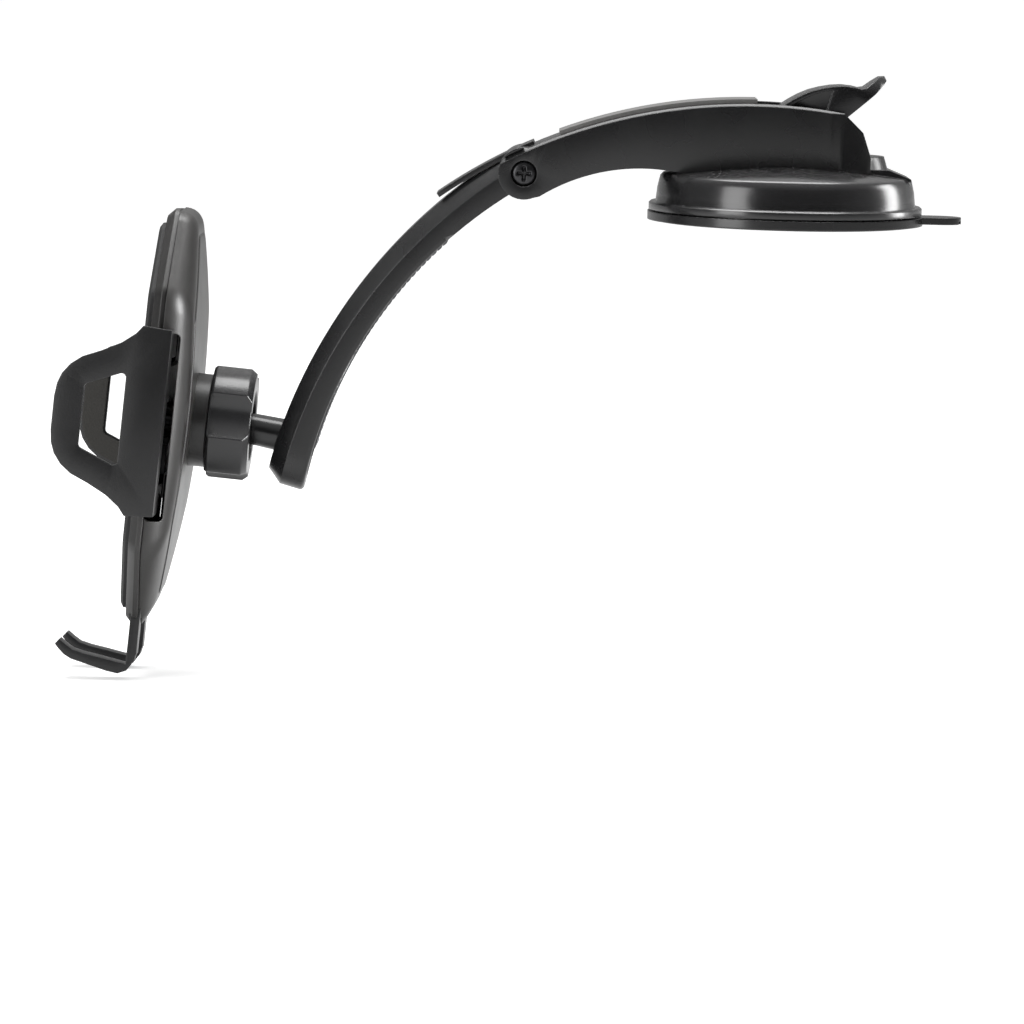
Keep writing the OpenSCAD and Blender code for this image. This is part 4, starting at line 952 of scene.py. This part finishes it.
@dataclass
class BackShell:
    """The cradle's back shell, a soft side between the parting line and a flat octagonal panel.

    Lengths are in millimetres, except the ball's place, which is in metres. An octagon is its
    half width, its height above and below the ball, the half width of its ends and the height
    of their taper.
    """

    ball: Point = (-0.159213, 0.0, -0.0612923)
    lean: float = 4.75
    part_x: float = -16.6
    back_x: float = -7.35
    crown_r: float = 360.0
    crown_z: float = 6.0
    wall: float = 2.0
    body: Octagon = (30.0, 59.5, 59.5, 12.0, 23.0)
    panel: Octagon = (23.5, 53.0, 50.0, 9.0, 23.0)
    body_rounds: Span = (13.0, 7.0)
    panel_rounds: Span = (4.0, 3.0)
    panel_inset_share: float = 0.5
    collar_r: float = 13.35
    fullness: float = 1.9
    end_fullness: Span = (1.3, 2.3)
    end_from: float = 30.0
    panel_rise: float = 0.4
    panel_edge: tuple[Span, ...] = ((0.08, 0.25), (0.3, 0.85), (0.6, 1.0))
    panel_draw: float = 40.0
    arc_steps: int = 10
    edge_steps: int = 14
    profile_steps: int = 22
    panel_steps: int = 14
    wing_x: Span = (-17.0, -11.6)
    wing_z: float = 26.6
    wing_corner: float = 1.5
    button_x: Span = (-15.9, -13.1)
    button_z: Span = (-45.3, -36.7)
    button_corner: float = 0.4
    foot_x: float = -15.9
    foot_y: float = 13.8
    foot_z: float = -22.0
    corner_segments: int = 5
    far: float = 100.0

    def outline(self, sizes: Octagon, rounds: Span, inset: float) -> list[tuple[float, float]]:
        """Walks round an octagon with rounded corners.

        Args:
            sizes: the octagon.
            rounds: corner radii at the sides and at the ends.
            inset: how far the outline is drawn in.

        Returns:
            Its points in y and z, with the same count for every octagon.
        """
        wide, top, low, end, taper = sizes
        corners = [(wide, top - taper, rounds[0]), (end, top, rounds[1]), (-end, top, rounds[1]),
                   (-wide, top - taper, rounds[0]), (-wide, taper - low, rounds[0]),
                   (-end, -low, rounds[1]), (end, -low, rounds[1]), (wide, taper - low, rounds[0])]
        arcs: list[list[Vector]] = []
        for i, (y, z, radius) in enumerate(corners):
            here = Vector((y, z))
            before = (here - Vector(corners[i - 1][:2])).normalized()
            after = (Vector(corners[(i + 1) % len(corners)][:2]) - here).normalized()
            turn = before.angle(after)
            out_before, out_after = Vector((before.y, -before.x)), Vector((after.y, -after.x))
            bisector = (out_before + out_after).normalized()
            middle = here - bisector * (radius / math.cos(turn / 2))
            start = math.atan2(out_before.y, out_before.x)
            angles = [start + turn * k / self.arc_steps for k in range(self.arc_steps + 1)]
            arcs.append([middle + (radius - inset) * Vector((math.cos(a), math.sin(a)))
                         for a in angles])
        points: list[tuple[float, float]] = []
        for i, arc in enumerate(arcs):
            points += [tuple(p) for p in arc]
            next_point = arcs[(i + 1) % len(arcs)][0]
            points += [tuple(arc[-1].lerp(next_point, k / self.edge_steps))
                       for k in range(1, self.edge_steps)]
        return points

    def crown(self, z: float, depth: float) -> float:
        """Gives the depth of the bowed back.

        Args:
            z: height of the place.
            depth: how far it is under the surface.

        Returns:
            Its x.
        """
        r = self.crown_r
        return self.back_x - depth - r + math.sqrt(r * r - (z - self.crown_z) ** 2)

    def rings(self, inset: float) -> list[list[Point]]:
        """Rings from the parting line over the side and the panel to the collar's hole.

        Args:
            inset: 0 for the outer skin, the wall's thickness for the inner one.

        Returns:
            The rings, each a list of points in x, y and z.
        """
        side = self.outline(self.body, self.body_rounds, inset)
        panel = self.outline(self.panel, self.panel_rounds, inset * self.panel_inset_share)
        collar = [Vector(p).normalized() * self.collar_r for p in panel]
        rise = self.panel_rise if inset == 0 else 0.0
        rings: list[list[Point]] = []
        for k in range(self.profile_steps + 1):
            t = math.pi / 2 * k / self.profile_steps
            ring = []
            for (y0, z0), (y1, z1) in zip(side, panel):
                share = (abs(z0) - self.end_from) / (self.body[1] - self.end_from)
                share = min(1.0, max(0.0, share))
                ease = share * share * (3 - 2 * share)
                power = self.fullness + (self.end_fullness[z0 > 0] - self.fullness) * ease
                away, deep = 1 - math.cos(t) ** (2 / power), math.sin(t) ** (2 / power)
                x1 = self.crown(z1, inset + rise)
                ring.append((self.part_x + (x1 - self.part_x) * deep,
                             y0 + (y1 - y0) * away, z0 + (z1 - z0) * away))
            rings.append(ring)
        if rise:
            for share, height in self.panel_edge:
                draw = 1 - share / self.panel_draw
                rings.append([(self.crown(z * draw, rise * (1 - height)), y * draw, z * draw)
                              for y, z in panel])
        for k in range(1, self.panel_steps + 1):
            share = k / self.panel_steps
            flat = [(y + (c.x - y) * share, z + (c.y - z) * share)
                    for (y, z), c in zip(panel, collar)]
            rings.append([(self.crown(z, inset), y, z) for y, z in flat])
        return rings

    def skin(self) -> bpy.types.Mesh:
        """Closes the wall between the outer and the inner skin.

        Returns:
            Its mesh, in the cradle's frame.
        """
        loops = self.rings(0.0) + self.rings(self.wall)[::-1]
        faces = ring_faces(len(loops), len(loops[0]), closed=True)
        verts = [tuple(v * MM for v in p) for loop in loops for p in loop]
        return mesh_of(verts, faces, "back_shell_skin")

    def cutter(self, low: Point, high: Point, corner: float = 0.0) -> bpy.types.Object:
        """A block that an opening is cut with.

        Args:
            low: its lowest corner.
            high: its highest corner.
            corner: radius of its corners, seen along y.

        Returns:
            The block.
        """
        bm = bmesh.new()
        bmesh.ops.create_cube(bm, size=1.0)
        for vert in bm.verts:
            vert.co = Vector(((high[i] if vert.co[i] > 0 else low[i]) * MM for i in range(3)))
        if corner:
            along = [e for e in bm.edges
                     if abs(e.verts[0].co.y - e.verts[1].co.y) > (high[1] - low[1]) * MM / 2]
            bmesh.ops.bevel(bm, geom=along, offset=corner * MM, segments=self.corner_segments,
                            profile=0.5, affect="EDGES")
        return in_scene("opening", mesh_from(bm, "opening"))

    def build(self) -> None:
        """Builds the shell and stands it for the CAD's."""
        shell = in_scene("back_shell_whole", self.skin())
        far, (x0, x1), (bx0, bx1), (bz0, bz1) = self.far, self.wing_x, self.button_x, self.button_z
        blocks = [self.cutter((x0, -far, -self.wing_z), (x1, far, self.wing_z), self.wing_corner),
                  self.cutter((bx0, 0.0, bz0), (bx1, far, bz1), self.button_corner),
                  self.cutter((-far, -self.foot_y, -far), (self.foot_x, self.foot_y, self.foot_z))]
        for block in blocks:
            cut = shell.modifiers.new("cut", "BOOLEAN")
            cut.operation, cut.object, cut.solver = "DIFFERENCE", block, "EXACT"
        mesh = evaluated(shell)
        for block in blocks:
            bpy.data.objects.remove(block)
        turn = Matrix.Rotation(math.radians(self.lean), 4, "Y")
        mesh.transform(Matrix.Translation(self.ball) @ turn)
        mesh.materials.clear()
        shaded_by_angle(mesh, SHELL_SHADING)
        piece = new_piece("back_shell_soft", mesh, Body.CRADLE, CRADLE_PLASTIC)
        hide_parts("back_shell")


@dataclass
class Cradle:
    """The phone cradle: two shells, the sprung clamps and the foot."""

    def build(self) -> None:
        """Dresses the cradle."""
        BackShell().build()
        eased("front_shell", Body.CRADLE, CRADLE_PLASTIC, radius=0.6 * MM)
        dress(PAD_RUBBER, "front_pad")
        dress(WING_PAD_RUBBER, "clamp_pad_near", "clamp_pad_far")
        eased("clamp_near", Body.NEAR, WING_PLASTIC, radius=0.3 * MM)
        eased("clamp_far", Body.FAR, WING_PLASTIC, radius=0.3 * MM)
        eased("foot", Body.FOOT, WING_PLASTIC, radius=0.4 * MM)
        dress(WING_PLASTIC, "release_button")
        dress(INNER_PLASTIC, "pinion", "pawl")
        dress(STEEL, "pinion_pin", "pinion_spring", "button_spring", "pawl_pin")
        dress(DARK_STEEL, "shell_screws")


# --- studio


@dataclass(frozen=True)
class SoftBox:
    """A lamp: place, aim, width and height in metres, power in watts, and what it lights."""

    name: str
    place: Point
    aim: Point
    size: Span
    power: float
    only: tuple[Body, ...] = ()

    def build(self) -> None:
        """Hangs the lamp; without bodies of its own it lights everything."""
        data = bpy.data.lights.new(self.name, "AREA")
        data.shape, data.energy = "RECTANGLE", self.power
        data.size, data.size_y = self.size
        lamp = in_scene(self.name, data)
        lamp.location = self.place
        way = Vector(self.aim) - Vector(self.place)
        lamp.rotation_euler = way.to_track_quat("-Z", "Y").to_euler()
        if self.only:
            lit = bpy.data.collections.new(self.name + "_lit")
            for piece, body in PIECES:
                if body in self.only:
                    lit.objects.link(piece)
            lamp.light_linking.receiver_collection = lit


@dataclass
class Studio:
    """Pale floor, soft lamps, white surround and the camera."""

    lens: float = 158.45
    sensor: float = 36.0
    clip: Span = (0.05, 100.0)
    place: Point = (-0.062623, -1.278809, 0.079156)
    right: Point = (0.999629, 0.013038, 0.023929)
    up: Point = (-0.025042, 0.093213, 0.995331)
    shift_y: float = -0.15
    floor_gap: float = 0.0005
    floor_reach: float = 30.0
    floor_colour: tuple[float, float, float, float] = (0.86, 0.86, 0.86, 1.0)
    floor_glow: float = 0.5
    dim: float = 0.05
    top_glow: tuple[Span, float] = ((0.3, 0.85), 0.7)
    rear_glow: tuple[Span, float] = ((0.1, 0.8), 0.3)
    side_glow: tuple[Span, float] = ((0.55, 0.95), 0.15)
    low_glow: tuple[Span, float] = ((-0.2, -0.9), 0.15)
    lamps: tuple[SoftBox, ...] = (
        SoftBox("overhead", (-0.1, 0.06, 1.0), (-0.1, 0.0, 0.0), (1.1, 0.45), 13.0),
        SoftBox("left_front", (-0.9, -0.8, 0.15), (-0.08, 0.0, 0.0), (0.5, 0.9), 7.5),
        SoftBox("right_rim", (1.0, 0.3, 0.15), (0.0, 0.0, 0.0), (0.3, 0.8), 9.0,
                (Body.BASE, Body.STEM, Body.LEVER, Body.LOWER_ARM, Body.NUT)),
        SoftBox("cradle_strip", (0.7, -0.65, 0.05), (-0.17, 0.0, -0.05), (0.35, 0.9), 32.0,
                (Body.CRADLE, Body.NUT)))

    def camera(self) -> None:
        """Makes the camera at the photograph's viewing angle."""
        data = bpy.data.cameras.new("camera")
        data.lens, data.sensor_width, data.shift_y = self.lens, self.sensor, self.shift_y
        data.dof.use_dof = False
        data.clip_start, data.clip_end = self.clip
        eye = in_scene("camera", data)
        right = Vector(self.right).normalized()
        back = right.cross(Vector(self.up)).normalized()
        turn = Matrix((right, back.cross(right), back)).transposed().to_4x4()
        eye.matrix_world = Matrix.Translation(self.place) @ turn
        bpy.context.scene.camera = eye

    def floor(self) -> None:
        """Lays the floor just under the object, clear where it is seen from below."""
        z = CAD_BOX[0][2] - self.floor_gap
        r = self.floor_reach
        mesh = mesh_of([(-r, -r, z), (r, -r, z), (r, r, z), (-r, r, z)], [(0, 1, 2, 3)], "floor")
        stuff = bpy.data.materials.new("white_floor")
        w = cleared(stuff)
        matt = w.add("ShaderNodeBsdfDiffuse", {"Color": self.floor_colour})
        glow = w.add("ShaderNodeEmission", {"Color": WHITE, "Strength": self.floor_glow})
        both = w.add("ShaderNodeAddShader", {0: matt.outputs[0], 1: glow.outputs[0]})
        seen = w.add("ShaderNodeLightPath").outputs["Is Camera Ray"]
        mix = w.add("ShaderNodeMixShader", {0: seen, 1: matt.outputs[0], 2: both.outputs[0]})
        under = w.add("ShaderNodeNewGeometry").outputs["Backfacing"]
        clear = w.add("ShaderNodeBsdfTransparent")
        sheet = w.add("ShaderNodeMixShader", {0: under, 1: mix.outputs[0], 2: clear.outputs[0]})
        w.join(sheet.outputs[0], w.add("ShaderNodeOutputMaterial").inputs["Surface"])
        mesh.materials.append(stuff)
        floor = in_scene("floor", mesh)

    def world(self) -> None:
        """Surrounds the scene with soft light, white where the camera sees it."""
        world = bpy.data.worlds.new("surround")
        w = cleared(world)
        path = w.add("ShaderNodeLightPath")
        seen = w.maths("MAXIMUM", path.outputs["Is Camera Ray"],
                       path.outputs["Is Transmission Ray"])
        aim = w.add("ShaderNodeSeparateXYZ",
                    {0: w.add("ShaderNodeTexCoord").outputs["Generated"]}).outputs
        soft = self.dim
        for value, (span, glow) in ((aim["Z"], self.low_glow),
                                    (w.maths("ABSOLUTE", aim["X"]), self.side_glow),
                                    (aim["Y"], self.rear_glow), (aim["Z"], self.top_glow)):
            soft = w.maths("ADD", w.spread(value, span, (0.0, glow)), soft)
        strength = w.add("ShaderNodeMix", {0: seen, 2: soft, 3: 1.0})
        back = w.add("ShaderNodeBackground", {"Color": WHITE, "Strength": strength.outputs[0]})
        w.join(back.outputs[0], w.add("ShaderNodeOutputWorld").inputs["Surface"])
        bpy.context.scene.world = world

    def build(self) -> None:
        """Sets up the whole studio."""
        self.camera()
        self.floor()
        self.world()
        for lamp in self.lamps:
            lamp.build()
        bpy.context.scene.view_settings.view_transform = "Standard"


def main() -> None:
    """Builds every part."""
    logging.basicConfig(level=logging.INFO, format="%(name)s: %(message)s")
    for part in (CupAndBase(), Lever(), Arms(), BallAndNut(), Cradle(), Studio()):
        part.build()
        log.info("%s is built", type(part).__name__)
    bpy.context.view_layer.update()


if __name__ == "__main__":
    main()
